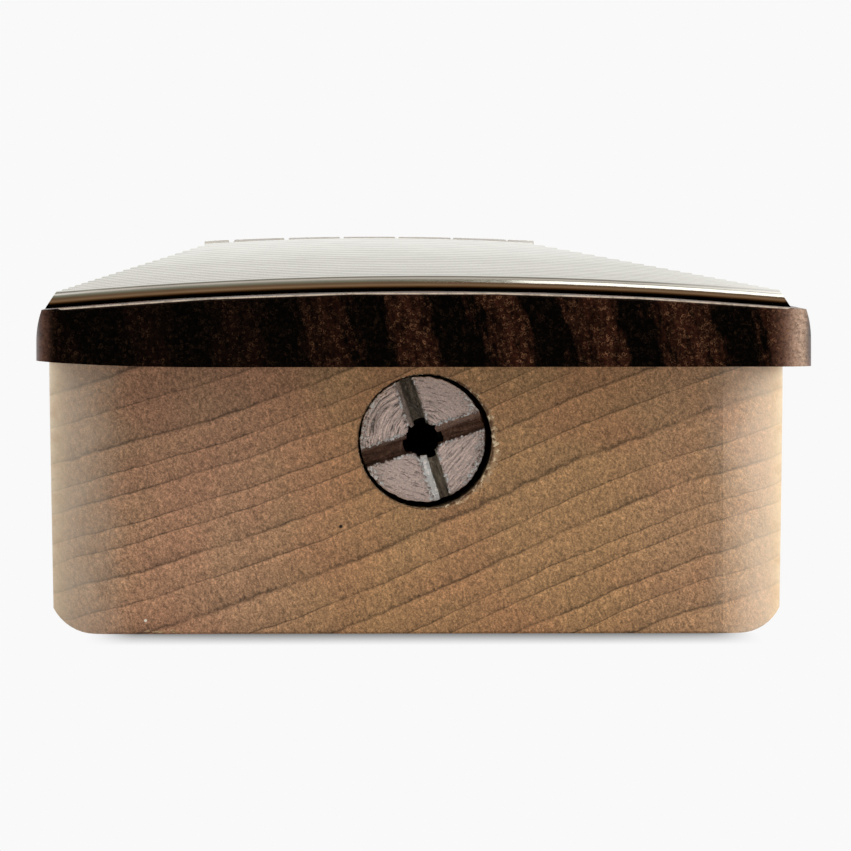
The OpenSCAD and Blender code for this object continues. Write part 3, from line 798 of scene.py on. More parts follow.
@dataclass(frozen=True)
class TurnedSteel(Finish):
    """Lathe-faced mild steel of the adjuster: arcs, gouges, burrs and dirty slots, with painted
    highlights, light and shade.
    """

    label: str = "turned_steel"
    face: Colour = paint(199, 178, 168)
    # Near-white of the burrs and of one slot wall, used as a painted highlight.
    pale: Colour = paint(255, 253, 250)
    dark: Colour = paint(40, 31, 26)
    grey_slot: Colour = paint(128, 118, 104)
    red_slot: Colour = paint(140, 104, 84)
    centre_z: float = 14.35
    face_y: float = -39.6
    slot_half: float = 0.69
    slot_depth: float = 1.9
    slot_angle: float = 18.0
    radius: float = 4.65

    def scratches(self, spot: Spot, degrees: float, seed: float) -> Wire:
        """Draws straight, broken scratches that run one way.

        Args:
            spot: The place on the piece.
            degrees: The way the scratches run.
            seed: Tells one set of scratches from another.

        Returns:
            A number about 0, from -1 to 1.
        """
        ahead, aside = spot.turned(degrees, self.centre_z)
        place = spot.bench.join(ahead * 1.1, aside * 6.5, seed)
        return spot.bench.cloud(place, 1.0, 3.0, 0.65).line(0.36, 0.64, -1.0, 1.0)

    def lathe_marks(self, at: SlotSpot) -> Wire:
        """Draws the arcs left by the facing cut.

        Args:
            at: The place on the adjuster.

        Returns:
            A number about 0, from -1 to 1.
        """
        bench = at.spot.bench
        angle = bench.calc("ARCTAN2", at.spot.z - self.centre_z, at.spot.x)
        ring = bench.cloud(at.spot.place, 0.8) * 0.5 + at.out
        cut = bench.cloud(bench.join(ring * 5.6, angle * 1.3, 2.0), 1.0, 3.0, 0.7)
        return cut.line(0.40, 0.60, -1.0, 1.0)

    def face_colour(self, at: SlotSpot) -> Tuple[Wire, Wire, Wire]:
        """Works out the faced front: each quarter carries its own kind of marks.

        Args:
            at: The place on the adjuster.

        Returns:
            The colour, the height of the marks, and where burrs stand up.
        """
        spot, bench, out = at.spot, at.spot.bench, at.out
        board_treble, back_bass = at.quarter(1, 1), at.quarter(-1, -1)
        arcs = self.lathe_marks(at)
        inner = board_treble * out.fit(2.1, 3.0, 0.9, 0.12)
        ringed = at.quarter(-1, 1) * 0.95 + (back_bass * 0.12 + inner)
        lines = self.scratches(spot, 48.0, 3.0) * (at.quarter(1, -1) * 0.75 + 0.1)
        grit = bench.cloud(spot.place, 8.0, 3.0, 0.75).line(0.32, 0.68, -1.0, 1.0)
        marks = arcs * ringed + (grit * 0.62 + lines)
        colour = bench.shade(self.face, marks.line(-1.3, 1.3, 0.30, 1.66))
        gouge = (self.scratches(spot, -16.0, 9.0).fit(-0.62, -0.78)
                 * (back_bass + board_treble))
        cut = arcs.fit(-0.7, -1.0) * ringed
        colour = bench.mix(bench.calc("MAXIMUM", gouge, cut) * 0.6, colour, self.dark)
        lip = (at.near() - self.slot_half).fall(-0.05, 0.42)
        rim = (self.radius - out).fall(0.0, 1.2)
        rim = rim * (abs(spot.x).fit(2.0, 3.6) * 0.75 + 0.1)
        rough = bench.calc("MAXIMUM", lip * 0.9, rim)
        # Burrs are raised cut steel mixed to near-white: bright metal, partly a painted highlight.
        spark = bench.cloud(spot.place, 3.5, 4.0, 0.74)
        burr = (rough * 0.21 + spark).fit(0.655, 0.70)
        colour = bench.mix(burr, colour, self.pale)
        pit = (rough * -0.13 + spark).fit(0.345, 0.30)
        colour = bench.mix(pit * 0.8, colour, self.dark)
        return colour, marks * 0.012 + burr * spark * 0.70, burr

    def slot_colour(self, at: SlotSpot) -> Tuple[Wire, Wire]:
        """Works out the slots: dirty floors, walls rubbed where the driver pushed, and painted
        light and shade.

        Args:
            at: The place on the adjuster.

        Returns:
            The colour, and where the lower arm's wall carries its painted highlight.
        """
        bench, along, across, deep = at.spot.bench, at.along, at.across, at.deep
        upright = (abs(across) - abs(along)).fit(-0.2, 0.2)
        drag = bench.cloud(bench.join(at.far() * 0.55, at.near() * 5.5, deep * 5.5),
                           1.0, 4.0, 0.7)
        # Painted light and shade: each arm is lightened as its walls and floor face the light, the
        # lower arm most, then the upper, the right and the left.
        level = along.fit(-1.0, 1.0, 0.9, 1.25)
        tone = upright * (across.fit(-1.0, 1.0, 2.9, 1.5) - level) + level
        tone = tone * drag.line(0.34, 0.66, 0.42, 1.5)
        slot = bench.shade(bench.mix(upright, self.red_slot, self.grey_slot), tone)
        # The top of each wall, down to about 0.7 mm: where the driver rubbed it, and where the
        # painted highlight falls.
        rubbed = deep.fall(0.55, 0.85)
        spark = bench.cloud(at.spot.place, 3.5, 4.0, 0.74)
        # Painted highlight: the shallow part of the lower arm's left wall, which faces the light
        # from the right, is mixed to near-white.
        lit = across.fit(-1.0, -1.4) * along.fit(0.0, -0.06) * rubbed
        lit = lit * spark.fit(0.36, 0.44, 0.35, 1.0)
        pushed = bench.calc("MAXIMUM", upright * along.fit(0.0, -0.1),
                            upright.fit(0.9, 0.1, 0.0, 0.35) * across.fit(0.0, 0.1))
        slot = bench.mix(spark.fit(0.44, 0.56, 0.35, 1.0) * (rubbed * pushed), slot, self.face)
        slot = bench.mix(lit, slot, self.pale)
        # Painted shade: deeper than the slots' floors, in the hole, the colour falls to near
        # black.
        hidden = deep.fit(self.slot_depth + 0.02, self.slot_depth + 0.25, 1.0, 0.01)
        return bench.shade(slot, hidden), lit

    def lay_out(self, bench: NodeBench) -> None:
        """Wires the whole finish.

        Args:
            bench: Where the nodes go.
        """
        spot = bench.spot()
        at = SlotSpot(spot, spot.reach(0.0, self.centre_z),
                      *spot.turned(self.slot_angle, self.centre_z), spot.y - self.face_y)
        front, height, burr = self.face_colour(at)
        slot, lit = self.slot_colour(at)
        inside = at.deep.fit(0.015, 0.045)
        clean = bench.calc("MAXIMUM", lit * inside, burr * (1.0 - inside))
        bench.surface(bench.mix(inside, front, slot), clean.fit(0.0, 1.0, 0.52, 0.34),
                      Normal=bench.relief(height, 0.8),
                      Specular_IOR_Level=clean.fit(0.0, 1.0, 0.3, 1.0))


@dataclass(frozen=True)
class PlainSteel(Finish):
    """Drawn steel of the rod, its anchor and its washer, painted near black as shade where the rod
    lies inside the adjuster.
    """

    label: str = "drawn_steel"
    tone: Colour = paint(150, 148, 146)
    bore_shade_span: Pair = (-27.0, -23.5)

    def lay_out(self, bench: NodeBench) -> None:
        """Wires the whole finish.

        Args:
            bench: Where the nodes go.
        """
        spot = bench.spot()
        drawn = spot.streaks((5.0, 0.2, 5.0), 3.0)
        colour = bench.shade(self.tone, drawn.tones(0.8, 1.1))
        # Painted shade: inside the adjuster the rod turns near black and loses its metal gloss.
        bench.surface(bench.shade(colour, spot.y.fit(*self.bore_shade_span, 0.01, 1.0)),
                      drawn.fit(0.3, 0.7, 0.3, 0.5), Normal=bench.relief(drawn * 0.01, 0.5),
                      Metallic=spot.y.fit(*self.bore_shade_span, 0.0, 0.9),
                      Specular_IOR_Level=spot.y.fit(*self.bore_shade_span, 0.0, 0.5))


@dataclass(frozen=True)
class Bone(Finish):
    """Bleached bone of the string nut, with its fine fibres."""

    label: str = "bleached_bone"
    tone: Colour = paint(252, 250, 244)
    deep: Colour = paint(240, 234, 218)

    def lay_out(self, bench: NodeBench) -> None:
        """Wires the whole finish.

        Args:
            bench: Where the nodes go.
        """
        fibre = bench.spot().streaks((0.5, 5.0, 5.0), 4.0, 0.6)
        bench.surface(bench.mix(fibre.fit(0.4, 0.7), self.tone, self.deep),
                      fibre.fit(0.3, 0.7, 0.25, 0.4), Normal=bench.relief(fibre * 0.01, 0.5))


@dataclass(frozen=True)
class Pearl(Finish):
    """Clouded pearl-like plastic of the dots."""

    label: str = "pearl_cloud"
    tone: Colour = paint(232, 230, 222)
    grey: Colour = paint(196, 198, 196)
    blush: Colour = paint(226, 214, 206)

    def lay_out(self, bench: NodeBench) -> None:
        """Wires the whole finish.

        Args:
            bench: Where the nodes go.
        """
        place = bench.spot().place
        swirl = bench.cloud(place, 0.75, 3.0, 0.55)
        colour = bench.mix(swirl.fit(0.38, 0.62), self.tone, self.grey)
        colour = bench.mix(bench.cloud(place, 0.5).fit(0.5, 0.66), colour, self.blush)
        bench.surface(colour, swirl.fit(0.3, 0.7, 0.14, 0.24), Coat_Weight=0.4)


@dataclass(frozen=True)
class BenchTop(Finish):
    """White table: it shows the backdrop's white, with a painted contact shadow in front of the
    heel.
    """

    label: str = "bench_top"
    white: float = 0.947
    matt: Colour = (0.85, 0.85, 0.85)
    reach: float = 0.017
    steep: float = 2.1
    heel_half: float = 21.0

    def lay_out(self, bench: NodeBench) -> None:
        """Wires the whole finish.

        Args:
            bench: Where the nodes go.
        """
        near = bench.node("ShaderNodeAmbientOcclusion", samples=24)
        bench.feed(near.inputs["Distance"], self.reach)
        # Painted contact shadow: the white darkens with ambient occlusion, only in front of the
        # heel's end and within its width.
        occlusion_shadow = 1.0 - bench.calc("POWER", near.outputs["AO"], self.steep)
        spot = bench.spot()
        before = spot.y.fall(HEEL_END - 0.3, HEEL_END + 1.5)
        below = abs(spot.x).fall(self.heel_half, self.heel_half + 4.0)
        bright = (1.0 - occlusion_shadow * (before * below)) * self.white
        shown = bench.filled("ShaderNodeEmission", (1.0, 1.0, 1.0), bright)
        matt = bench.filled("ShaderNodeBsdfDiffuse", self.matt)
        top = bench.filled("ShaderNodeMixShader", bench.seen(), matt, shown)
        under = bench.node("ShaderNodeNewGeometry").outputs["Backfacing"]
        clear = bench.filled("ShaderNodeBsdfTransparent")
        bench.end(bench.filled("ShaderNodeMixShader", under, top, clear))


@dataclass(frozen=True)
class CardGlow(Finish):
    """Even light or dark of a studio card."""

    label: str = "card"
    tone: Colour = (0.0, 0.0, 0.0)

    def lay_out(self, bench: NodeBench) -> None:
        """Wires the whole finish."""
        bench.end(bench.filled("ShaderNodeEmission", self.tone))


@dataclass(frozen=True)
class HoodGlow(Finish):
    """Graded lining of the hood over the neck: dark in front, brown, a pale strip, then white."""

    label: str = "hood"
    mid_y: float = -40.0
    mid_z: float = 26.5
    first: float = -20.0
    last: float = 180.0
    white: Colour = (1.5, 1.5, 1.5)
    tones: Stops = ((28.0, (0.0, 0.0, 0.0)), (36.0, (0.035, 0.014, 0.004)),
                    (43.0, (0.15, 0.08, 0.036)), (50.0, (0.235, 0.145, 0.086)),
                    (64.0, (0.14, 0.082, 0.047)), (73.0, (0.15, 0.108, 0.07)),
                    (81.0, (0.175, 0.165, 0.12)), (90.0, (0.245, 0.25, 0.205)),
                    (97.0, (0.37, 0.34, 0.305)), (107.0, (0.64, 0.58, 0.53)),
                    (118.0, (0.33, 0.31, 0.275)), (125.0, (0.14, 0.13, 0.115)),
                    (129.0, (0.15, 0.14, 0.125)), (134.0, (0.52, 0.51, 0.48)),
                    (145.0, (0.76, 0.75, 0.72)), (160.0, (0.92, 0.92, 0.90)),
                    (180.0, (1.02, 1.02, 1.0)))

    def lay_out(self, bench: NodeBench) -> None:
        """Wires the whole finish.

        Args:
            bench: Where the nodes go.
        """
        spot = bench.spot()
        turn = bench.calc("ARCTAN2", spot.z - self.mid_z, self.mid_y - spot.y) * (180 / math.pi)
        span = self.last - self.first
        tone = bench.ramp(turn * (1 / span) + -self.first / span,
                          tuple(((place - self.first) / span, colour)
                                for place, colour in self.tones))
        edge = bench.calc("MAXIMUM", spot.x.fall(-122.0, -62.0),
                          spot.x.fit(50.0, 120.0)) * turn.fit(92.0, 104.0)
        bench.end(bench.filled("ShaderNodeEmission", bench.mix(edge, tone, self.white)))


@dataclass
class Skin:
    """Points and faces of a piece on its way, in millimetres in the neck's frame."""

    points: List[Point] = field(default_factory=list)
    faces: List[Sequence[int]] = field(default_factory=list)

    def row(self, points: Sequence[Point]) -> List[int]:
        """Adds a row of points.

        Args:
            points: The points.

        Returns:
            Their numbers.
        """
        start = len(self.points)
        self.points.extend(points)
        return list(range(start, len(self.points)))

    def sheet(self, first: Sequence[int], second: Sequence[int], back: bool = False) -> None:
        """Stretches a strip of faces between two rows.

        Args:
            first: Numbers of the first row's points.
            second: Numbers of the second row's points.
            back: Whether the strip faces the other way.
        """
        for i in range(len(first) - 1):
            quad = (first[i], second[i], second[i + 1], first[i + 1])
            self.faces.append(quad[::-1] if back else quad)

    def piece(self, name: str, smooth: bool = False) -> bpy.types.Object:
        """Makes the mesh piece.

        Args:
            name: Name of the piece.
            smooth: Whether the faces are shaded smoothly.

        Returns:
            The piece, in metres.
        """
        mesh = bpy.data.meshes.new(name)
        mesh.from_pydata([tuple(part * MM for part in point) for point in self.points], [],
                         self.faces)
        mesh.validate()
        mesh.shade_smooth() if smooth else mesh.shade_flat()
        piece = bpy.data.objects.new(name, mesh)
        bpy.context.scene.collection.objects.link(piece)
        return piece


@dataclass
class Assembly:
    """What the sub-assemblies share: the frame's nodes, and the names of what they made."""

    nodes: Dict[str, bpy.types.Object]
    made: List[str] = field(default_factory=list)

    def wear(self, finish: Finish, *names: str) -> None:
        """Puts a finish on some of the frame's nodes."""
        finish.put_on(*(self.nodes[name] for name in names))
        self.made.extend(names)


@dataclass
class WoodNeck(Assembly):
    """The maple heel, shaft and headstock, and the fibres torn at the bore and the back edge."""

    chip_x: float = -19.6
    rim_turn: float = 18.0
    rim_width: Pair = (0.05, 0.5)
    rim_steps: int = 360
    rim_rises: Sequence[float] = (0.0, 0.035, 0.05, 0.035, -0.02)
    splinters: int = 9
    splinter_rows: int = 6
    seed: int = 11

    def dress(self) -> None:
        """Puts the maple on the wood."""
        self.wear(Maple(), "maple_neck")

    def finish_torn(self, piece: bpy.types.Object) -> bpy.types.Object:
        """Gives a torn piece its finish and its body.

        Args:
            piece: The piece.

        Returns:
            The same piece.
        """
        TornMaple().put_on(piece)
        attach(piece, "neck")
        self.made.append(piece.name)
        return piece

    def torn_rim(self) -> bpy.types.Object:
        """Builds the broken fibres round the bore, widest towards the treble side.

        Returns:
            The rim.
        """
        chance = random.Random(self.seed)
        skin, rings, width = Skin(), [], 0.1
        for i in range(self.rim_steps):
            turn = 2 * math.pi * i / self.rim_steps
            side = max(0.0, math.cos(turn + math.radians(self.rim_turn)))
            goal = self.rim_width[0] + self.rim_width[1] * side ** 1.5
            width += (goal * chance.uniform(0.2, 1.7) - width) * 0.5
            inner = BORE_R - max(0.0, chance.uniform(-0.12, 0.09))
            ring = []
            for k, rise in enumerate(self.rim_rises):
                out = inner + width * k / (len(self.rim_rises) - 1)
                ring.append((BORE_X + out * math.cos(turn),
                             HEEL_END - rise * chance.uniform(0.3, 1.3),
                             BORE_Z + out * math.sin(turn)))
            rings.append(skin.row(ring))
        for ring, following in zip(rings, rings[1:] + rings[:1]):
            skin.sheet(ring, following)
        return self.finish_torn(skin.piece("torn_rim"))

    def torn_edge(self) -> bpy.types.Object:
        """Builds the few splinters lifted from the back edge of the heel's end.

        Returns:
            The splinters.
        """
        chance = random.Random(self.seed + 1)
        skin, root = Skin(), HEEL_END + 0.02
        for _ in range(self.splinters):
            x0 = self.chip_x + chance.uniform(-1.3, 1.1)
            z0 = chance.uniform(0.1, 0.3)
            long, thick = chance.uniform(0.35, 1.1), chance.uniform(0.05, 0.12)
            lean = chance.uniform(-0.12, 0.12)
            rows = []
            for k in range(self.splinter_rows):
                share = k / (self.splinter_rows - 1)
                swell = math.sin(math.pi * (0.08 + 0.84 * share)) * thick
                x, z = x0 + long * share, z0 + lean * share
                rows.append(skin.row([(x, root, z - swell), (x, HEEL_END - swell * 0.6, z),
                                      (x, root, z + swell)]))
            for row, following in zip(rows, rows[1:]):
                skin.sheet(row, following)
        return self.finish_torn(skin.piece("torn_edge"))


@dataclass
class Board(Assembly):
    """The dark board, its dots and its side dots."""

    def dress(self) -> None:
        """Puts rosewood on the board and pearl on the dots."""
        self.wear(Rosewood(), "fingerboard")
        self.wear(Pearl(), *(name for name in self.nodes if "dot_" in name))


@dataclass
class Frets(Assembly):
    """The twenty-two frets and the string nut."""

    count: int = 22

    def dress(self) -> None:
        """Puts fret wire on the frets and bone on the nut."""
        self.wear(FretWire(), *(f"fret_{n:02d}" for n in range(1, self.count + 1)))
        self.wear(Bone(), "string_nut")


@dataclass
class Rod(Assembly):
    """The hidden rod, its anchor and washer, and the walnut that closes it in."""

    def dress(self) -> None:
        """Puts steel on the rod's parts and walnut on the strip and plug."""
        self.wear(PlainSteel(), "truss_rod", "truss_rod_anchor", "truss_rod_washer")
        self.wear(Walnut(), "skunk_stripe", "anchor_plug")


class Arm(Enum):
    """The four arms of the crossed slot, by the side of the face they run to."""

    TREBLE = 0
    BOARD = 1
    BASS = 2
    BACK = 3


@dataclass
class Adjuster(Assembly):
    """The cross-slotted steel adjuster, rebuilt with worn slots and real burrs."""

    face_y: float = -39.6
    centre_z: float = 14.35
    radius: float = 4.65
    length: float = 16.0
    slot_half: float = 0.69
    slot_depth: float = 1.9
    slot_angle: float = 18.0
    hole_r: float = 1.25
    lobe_start: float = 1.2
    hole_depth: float = 6.0
    rod_r: float = 2.46
    hole_flare: float = 0.22
    hole_taper: float = 0.96
    wall_start: float = 1.2
    edge_gap: float = 0.02
    burr_rise: Pair = (-0.05, 0.16)
    burr_shares: Point = (1.0, 0.75, 0.2)
    edge_tear: Pair = (-0.16, 0.12)
    rim_rise: Pair = (-0.04, 0.10)
    rim_tear: Pair = (-0.09, 0.04)
    hole_tear: Pair = (-0.14, 0.16)
    wall_wander: Pair = (-0.07, 0.07)
    face_wander: Pair = (-0.006, 0.006)
    rim_break: float = 0.05
    floor_gap: float = 0.03
    floor_half: float = 0.62
    floor_dip: float = 0.16
    seed: int = 5
    rings: int = 60
    steps: int = 34
    floor_cuts: int = 9
    barrel_steps: int = 144
    crease: float = 28.0

    def __post_init__(self) -> None:
        """Starts the piece's skin and its run of chance."""
        self.skin = Skin()
        self.chance = random.Random(self.seed)

    def walls(self, arm: Arm) -> Tuple[List[Pair], List[Pair]]:
        """Gives the two walls of one arm of the slot, worn on the side the driver pushes.

        Args:
            arm: Which arm.

        Returns:
            For the anticlockwise and the clockwise wall, its (offset, depth) steps below the face.
        """
        deep = self.slot_depth
        worn = {
            Arm.TREBLE: ([(0.50, 0.25), (0.16, 0.8), (0.14, deep)],
                         [(-0.67, 0.3), (-0.66, 1.0), (-0.64, deep)]),
            Arm.BOARD: ([(0.56, 0.16), (0.30, 0.5), (0.24, deep)],
                        [(-0.67, 0.3), (-0.66, 1.0), (-0.62, deep)]),
            Arm.BASS: ([(0.66, 0.3), (0.64, 1.0), (0.62, deep)],
                       [(-0.60, 0.2), (-0.42, 0.9), (-0.34, deep)]),
            Arm.BACK: ([(0.67, 0.3), (0.66, 1.0), (0.62, deep)],
                       [(-0.50, 0.05), (-0.10, 0.26), (-0.05, deep)]),
        }
        return worn[arm]

    def turned(self, along: float, across: float, deep: float, quarter: int = 0) -> Point:
        """Places a point of the adjuster's face.

        Args:
            along: Distance along the slot's arm, in mm.
            across: Distance to its anticlockwise side, in mm.
            deep: Distance in from the face, in mm.
            quarter: Which arm, counted from the treble side.

        Returns:
            The point in the neck's frame.
        """
        turn = math.radians(self.slot_angle + 90 * quarter)
        return (along * math.cos(turn) - across * math.sin(turn), self.face_y + deep,
                self.centre_z + along * math.sin(turn) + across * math.cos(turn))

    def drift(self, count: int, limits: Pair, hold: float = 0.55) -> List[float]:
        """Makes a row of numbers that wander between two limits.

        Args:
            count: How many.
            limits: Lower and upper limit.
            hold: How much of each step is kept from the one before.

        Returns:
            The numbers.
        """
        level, row = 0.0, []
        for _ in range(count):
            level = level * hold + self.chance.uniform(*limits) * (1 - hold)
            row.append(level)
        return row

    def build(self) -> bpy.types.Object:
        """Builds the four quarters with burred edges, the slots, the hole and the barrel.

        Returns:
            The adjuster.
        """
        for quarter in range(4):
            self.add_quarter(quarter)
        self.add_barrel()
        piece = self.skin.piece("adjuster_nut", smooth=True)
        piece.data.set_sharp_from_angle(angle=math.radians(self.crease))
        TurnedSteel(face_y=self.face_y, centre_z=self.centre_z, slot_half=self.slot_half,
                    radius=self.radius, slot_angle=self.slot_angle,
                    slot_depth=self.slot_depth).put_on(piece)
        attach(piece, "adjuster")
        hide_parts("truss_rod_nut")
        self.made.append(piece.name)
        return piece

    def add_quarter(self, quarter: int) -> None:
        """Adds one quarter of the face, the walls that drop from it, and its share of the floor.

        Args:
            quarter: Which quarter, counted from the one over the treble arm.
        """
        wide, rows, sides = self.steps + 1, self.rings + 1, (0, self.steps)
        burr = {side: self.drift(rows, self.burr_rise) for side in sides}
        torn = {side: self.drift(rows, self.edge_tear, 0.35) for side in sides}
        rim_burr = self.drift(wide, self.rim_rise)
        rim_torn = self.drift(wide, self.rim_tear, 0.3)
        hole_torn = self.drift(wide, self.hole_tear, 0.3)
        grid = []
        for i in range(rows):
            row = []
            for j in range(wide):
                share = j / self.steps
                near = min(j, self.steps - j)
                flare = self.hole_flare * (2 * abs(share - 0.5)) ** 3
                inner = self.hole_r + flare + hole_torn[j]
                outer = self.radius + rim_torn[j]
                out = inner + (outer - inner) * i / self.rings
                side = 0 if j < wide / 2 else self.steps
                shift = torn[side][i] * max(0.0, 1 - near / 2.5)
                first = math.asin(min(1.0, (self.slot_half - shift) / out))
                turn = first + (math.pi / 2 - first - first) * share
                raised = (max(0.0, burr[side][i]) * self.burr_shares[near]
                          if near < len(self.burr_shares) else 0.0)
                if i >= self.rings - 1:
                    raised = max(raised, rim_burr[j])
                if i == self.rings:
                    raised -= self.rim_break
                deep = -raised + self.chance.uniform(*self.face_wander)
                row.append(self.turned(out * math.cos(turn), out * math.sin(turn), deep, quarter))
            grid.append(self.skin.row(row))
        for row, following in zip(grid, grid[1:]):
            self.skin.sheet(row, following)
        before, after = Arm(quarter), Arm((quarter + 1) % 4)
        self.drop_wall([row[0] for row in grid], self.walls(before)[0], quarter, 1)
        self.drop_wall([row[-1] for row in grid], self.walls(after)[1], quarter + 1, -1)
        self.drop_hole(grid[0])
        self.add_floor(quarter)

    def drop_wall(self, edge: List[int], steps_down: List[Pair], quarter: int,
                  side: int) -> None:
        """Drops one slot wall from a quarter's edge.

        Args:
            edge: The edge's points, from the hole out.
            steps_down: The wall's (offset, depth) steps.
            quarter: Which arm the wall belongs to.
            side: 1 for the anticlockwise wall, -1 for the clockwise one.
        """
        last, count, start = edge, len(edge), self.wall_start
        for level, (offset, deep) in enumerate(steps_down, 1):
            rough = self.drift(count, self.wall_wander, 0.5)
            row = []
            for i in range(count):
                out = start + (self.radius - self.edge_gap - start) * (i / (count - 1))
                across = offset + (rough[i] if level < len(steps_down) else 0.0)
                along = math.sqrt(max(out * out - across * across, 0.01))
                row.append(self.turned(along, across, deep, quarter))
            row = self.skin.row(row)
            self.skin.sheet(last, row, back=side < 0)
            last = row

    def drop_hole(self, edge: List[int]) -> None:
        """Drops the middle hole's side from a quarter's inner edge.

        Args:
            edge: The edge's points.
        """
        sides = [self.skin.points[number] for number in edge]
        taper, middle = self.hole_taper, self.centre_z
        deep = self.skin.row([(x * taper, self.face_y + self.hole_depth,
                               middle + (z - middle) * taper) for x, _, z in sides])
        self.skin.faces.extend((edge[j], edge[j + 1], deep[j + 1], deep[j])
                               for j in range(len(edge) - 1))

    def add_floor(self, quarter: int) -> None:
        """Adds the floor of one arm, from the hole's lobe to the rim.

        Args:
            quarter: Which arm.
        """
        high, low = (wall[-1][0] for wall in self.walls(Arm(quarter)))
        gap, middle, cuts = self.floor_gap, (high + low) / 2, []
        for i in range(self.floor_cuts):
            across = low - gap + (high - low + 2 * gap) * i / (self.floor_cuts - 1)
            bow = math.sqrt(max(0.0, 1 - ((across - middle) / self.floor_half) ** 2))
            ends = (self.lobe_start + self.floor_dip * bow * 2, self.radius - self.edge_gap)
            cuts.append(self.skin.row([self.turned(out, across, self.slot_depth, quarter)
                                       for out in ends]))
        near, far = zip(*cuts)
        self.skin.sheet(near, far)

    def add_barrel(self) -> None:
        """Adds the barrel behind the face and its far end round the rod."""
        count, rings = self.barrel_steps, []
        for deep, out in ((0.04, self.radius - 0.03), (self.slot_depth, self.radius - 0.01),
                          (self.length, self.radius - 0.01), (self.length, self.rod_r),
                          (self.hole_depth, self.rod_r), (self.hole_depth, self.hole_r * 0.95)):
            turns = [2 * math.pi * i / count for i in range(count)]
            rings.append(self.skin.row([(out * math.cos(turn), self.face_y + deep,
                                         self.centre_z + out * math.sin(turn))
                                        for turn in turns]))
        for k, (ring, behind) in enumerate(zip(rings, rings[1:])):
            for i in range(count):
                j = (i + 1) % count
                if k > 0 or not self.in_slot(2 * math.pi * (i + 0.5) / count):
                    self.skin.faces.append((ring[i], ring[j], behind[j], behind[i]))

    def in_slot(self, turn: float) -> bool:
        """Tells whether a direction, in radians, leads out through a slot."""
        own = turn - math.radians(self.slot_angle)
        return min(abs(math.sin(own)), abs(math.cos(own))) * self.radius < self.slot_half - 0.02


@dataclass(frozen=True)
class Window:
    """One soft lamp far away.

    Its share is the light on a face turned to it, where 1 shows a colour as written, and its
    spread is its width as seen from the neck, in degrees.
    """

    name: str
    towards: Point
    share: float
    spread: float
    tint: Colour

    def hang(self) -> None:
        """Hangs the lamp."""
        data = bpy.data.lights.new(self.name, "SUN")
        data.energy = self.share * math.pi
        data.angle = math.radians(self.spread)
        data.color = self.tint
        lamp = bpy.data.objects.new(self.name, data)
        lamp.rotation_mode = "QUATERNION"
        lamp.rotation_quaternion = Vector(self.towards).to_track_quat("Z", "Y")
        bpy.context.scene.collection.objects.link(lamp)


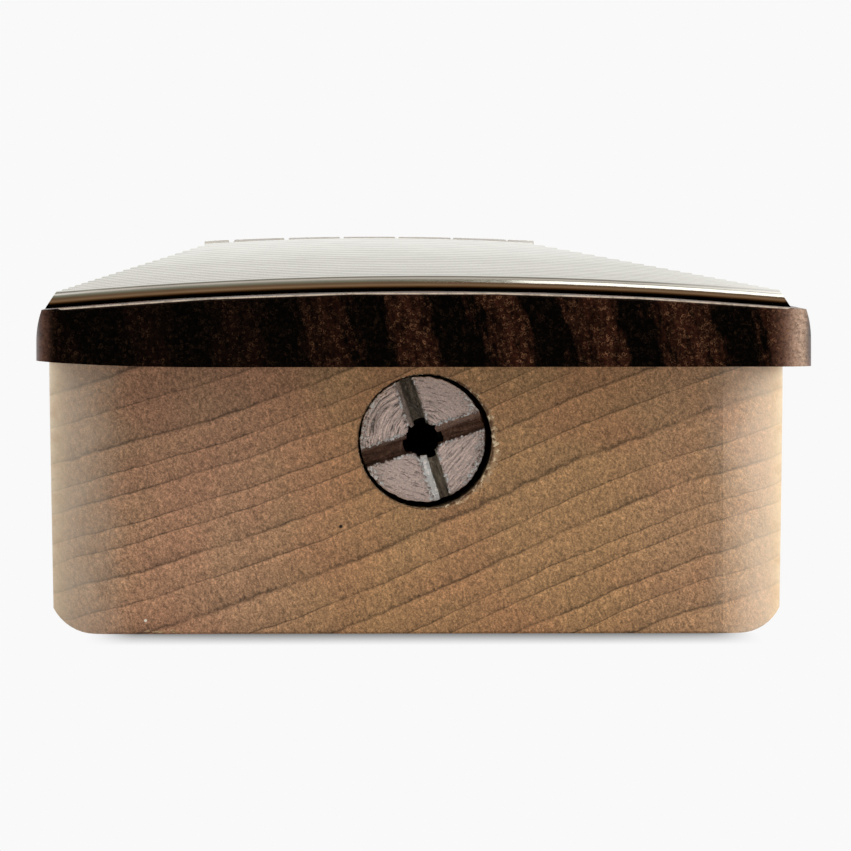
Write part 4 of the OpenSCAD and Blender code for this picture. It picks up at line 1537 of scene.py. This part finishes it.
@dataclass
class Studio:
    """Table, daylight and the cards that the metal mirrors."""

    windows: Sequence[Window] = (
        Window("window_right", (0.93, -0.17, 0.26), 0.84, 50.0, (1.0, 0.98, 0.94)),
        Window("window_left", (-0.93, -0.25, 0.28), 0.10, 60.0, (0.93, 0.97, 1.0)))
    centre: Point = (0.0, -40.0, 26.5)
    table_half: float = 60000.0
    hood_reach: float = 500.0
    hood_rise: Pair = (-3.0, 179.0)
    hood_width: Pair = (-900.0, 900.0)
    strip_reach: float = 480.0
    strip_rise: Pair = (71.0, 93.0)
    strip_width: Pair = (30.0, 400.0)
    strip_tone: Colour = (1.6, 1.6, 1.5)
    card_steps: int = 48
    day: float = 0.66
    white: float = 0.947

    def table(self) -> bpy.types.Object:
        """Lays the table under the heel.

        Returns:
            The table.
        """
        half = self.table_half
        top = Skin([(-half, -half, 0), (half, -half, 0), (half, half, 0), (-half, half, 0)],
                   [(0, 1, 2, 3)]).piece("table")
        BenchTop(white=self.white).put_on(top)
        return top

    def sky(self) -> None:
        """Sets the even daylight, and the white that is seen and mirrored."""
        world = bpy.data.worlds.new("room")
        bpy.context.scene.world = world
        world.use_nodes = True
        world.node_tree.nodes.clear()
        bench = NodeBench(world.node_tree)
        strength = bench.seen() * (self.white - self.day) + self.day
        bench.end(bench.filled("ShaderNodeBackground", (1.0, 1.0, 1.0), strength), "World")

    def card(self, name: str, rise: Pair, width: Pair, finish: Finish,
             reach: float) -> bpy.types.Object:
        """Hangs one curved card over the neck, seen only in mirrors.

        Args:
            name: Name of the card.
            rise: Its lower and upper edge, in degrees up from the near horizon.
            width: Its left and right edge, in mm.
            finish: What it glows with.
            reach: How far from the heel it hangs, in mm.

        Returns:
            The card.
        """
        skin, (_, mid_y, mid_z) = Skin(), self.centre
        rows = []
        for i in range(self.card_steps + 1):
            turn = math.radians(rise[0] + (rise[1] - rise[0]) * i / self.card_steps)
            rows.append(skin.row([(x, mid_y - reach * math.cos(turn),
                                   mid_z + reach * math.sin(turn)) for x in width]))
        skin.faces.extend((*row, *following[::-1]) for row, following in zip(rows, rows[1:]))
        card = skin.piece(name, smooth=True)
        finish.put_on(card)
        for ray in ("camera", "diffuse", "shadow", "transmission", "volume_scatter"):
            setattr(card, f"visible_{ray}", False)
        return card

    def build(self) -> None:
        """Sets up the table, the light and the cards."""
        self.table()
        self.sky()
        for window in self.windows:
            window.hang()
        hood = HoodGlow(mid_y=self.centre[1], mid_z=self.centre[2])
        self.card("hood", self.hood_rise, self.hood_width, hood, self.hood_reach)
        strip = CardGlow(label="strip", tone=self.strip_tone)
        self.card("strip_right", self.strip_rise, self.strip_width, strip, self.strip_reach)


@dataclass
class HeelCamera:
    """Long-lens camera in front of the heel."""

    place: Point = (-9.43, -691.4, 33.31)
    turn: float = 0.0148
    dip: float = 0.02751
    roll: float = -0.0009
    lens_px: float = 8815.3
    frame_px: float = 851.0
    sensor: float = 36.0
    clip: Pair = (0.01, 400.0)

    def build(self) -> bpy.types.Object:
        """Makes the camera and gives it to the scene.

        Returns:
            The camera.
        """
        data = bpy.data.cameras.new("heel_camera")
        data.sensor_width = self.sensor
        data.lens = self.lens_px / self.frame_px * self.sensor
        data.clip_start, data.clip_end = self.clip
        camera = bpy.data.objects.new("heel_camera", data)
        camera.location = tuple(part * MM for part in self.place)
        upright = Matrix.Rotation(math.radians(90), 4, "X")
        camera.rotation_mode = "QUATERNION"
        turned = (Matrix.Rotation(-self.turn, 4, "Z") @ Matrix.Rotation(-self.dip, 4, "X")
                  @ upright @ Matrix.Rotation(self.roll, 4, "Z"))
        camera.rotation_quaternion = turned.to_quaternion()
        bpy.context.scene.collection.objects.link(camera)
        bpy.context.scene.camera = camera
        return camera


def main() -> None:
    """Builds every sub-assembly in order and reports each piece."""
    logging.basicConfig(level=logging.INFO, format="%(name)s: %(message)s")
    bpy.context.scene.view_settings.view_transform = "Standard"
    HeelCamera().build()
    nodes = frame["nodes"]
    neck = WoodNeck(nodes)
    neck.dress()
    neck.torn_rim()
    neck.torn_edge()
    board, frets, rod = Board(nodes), Frets(nodes), Rod(nodes)
    for part in (board, frets, rod):
        part.dress()
    adjuster = Adjuster(nodes)
    adjuster.build()
    for part in (neck, board, frets, rod, adjuster):
        for name in part.made:
            log.info("%s: %s", type(part).__name__, name)
    Studio().build()


if __name__ == "__main__":
    main()
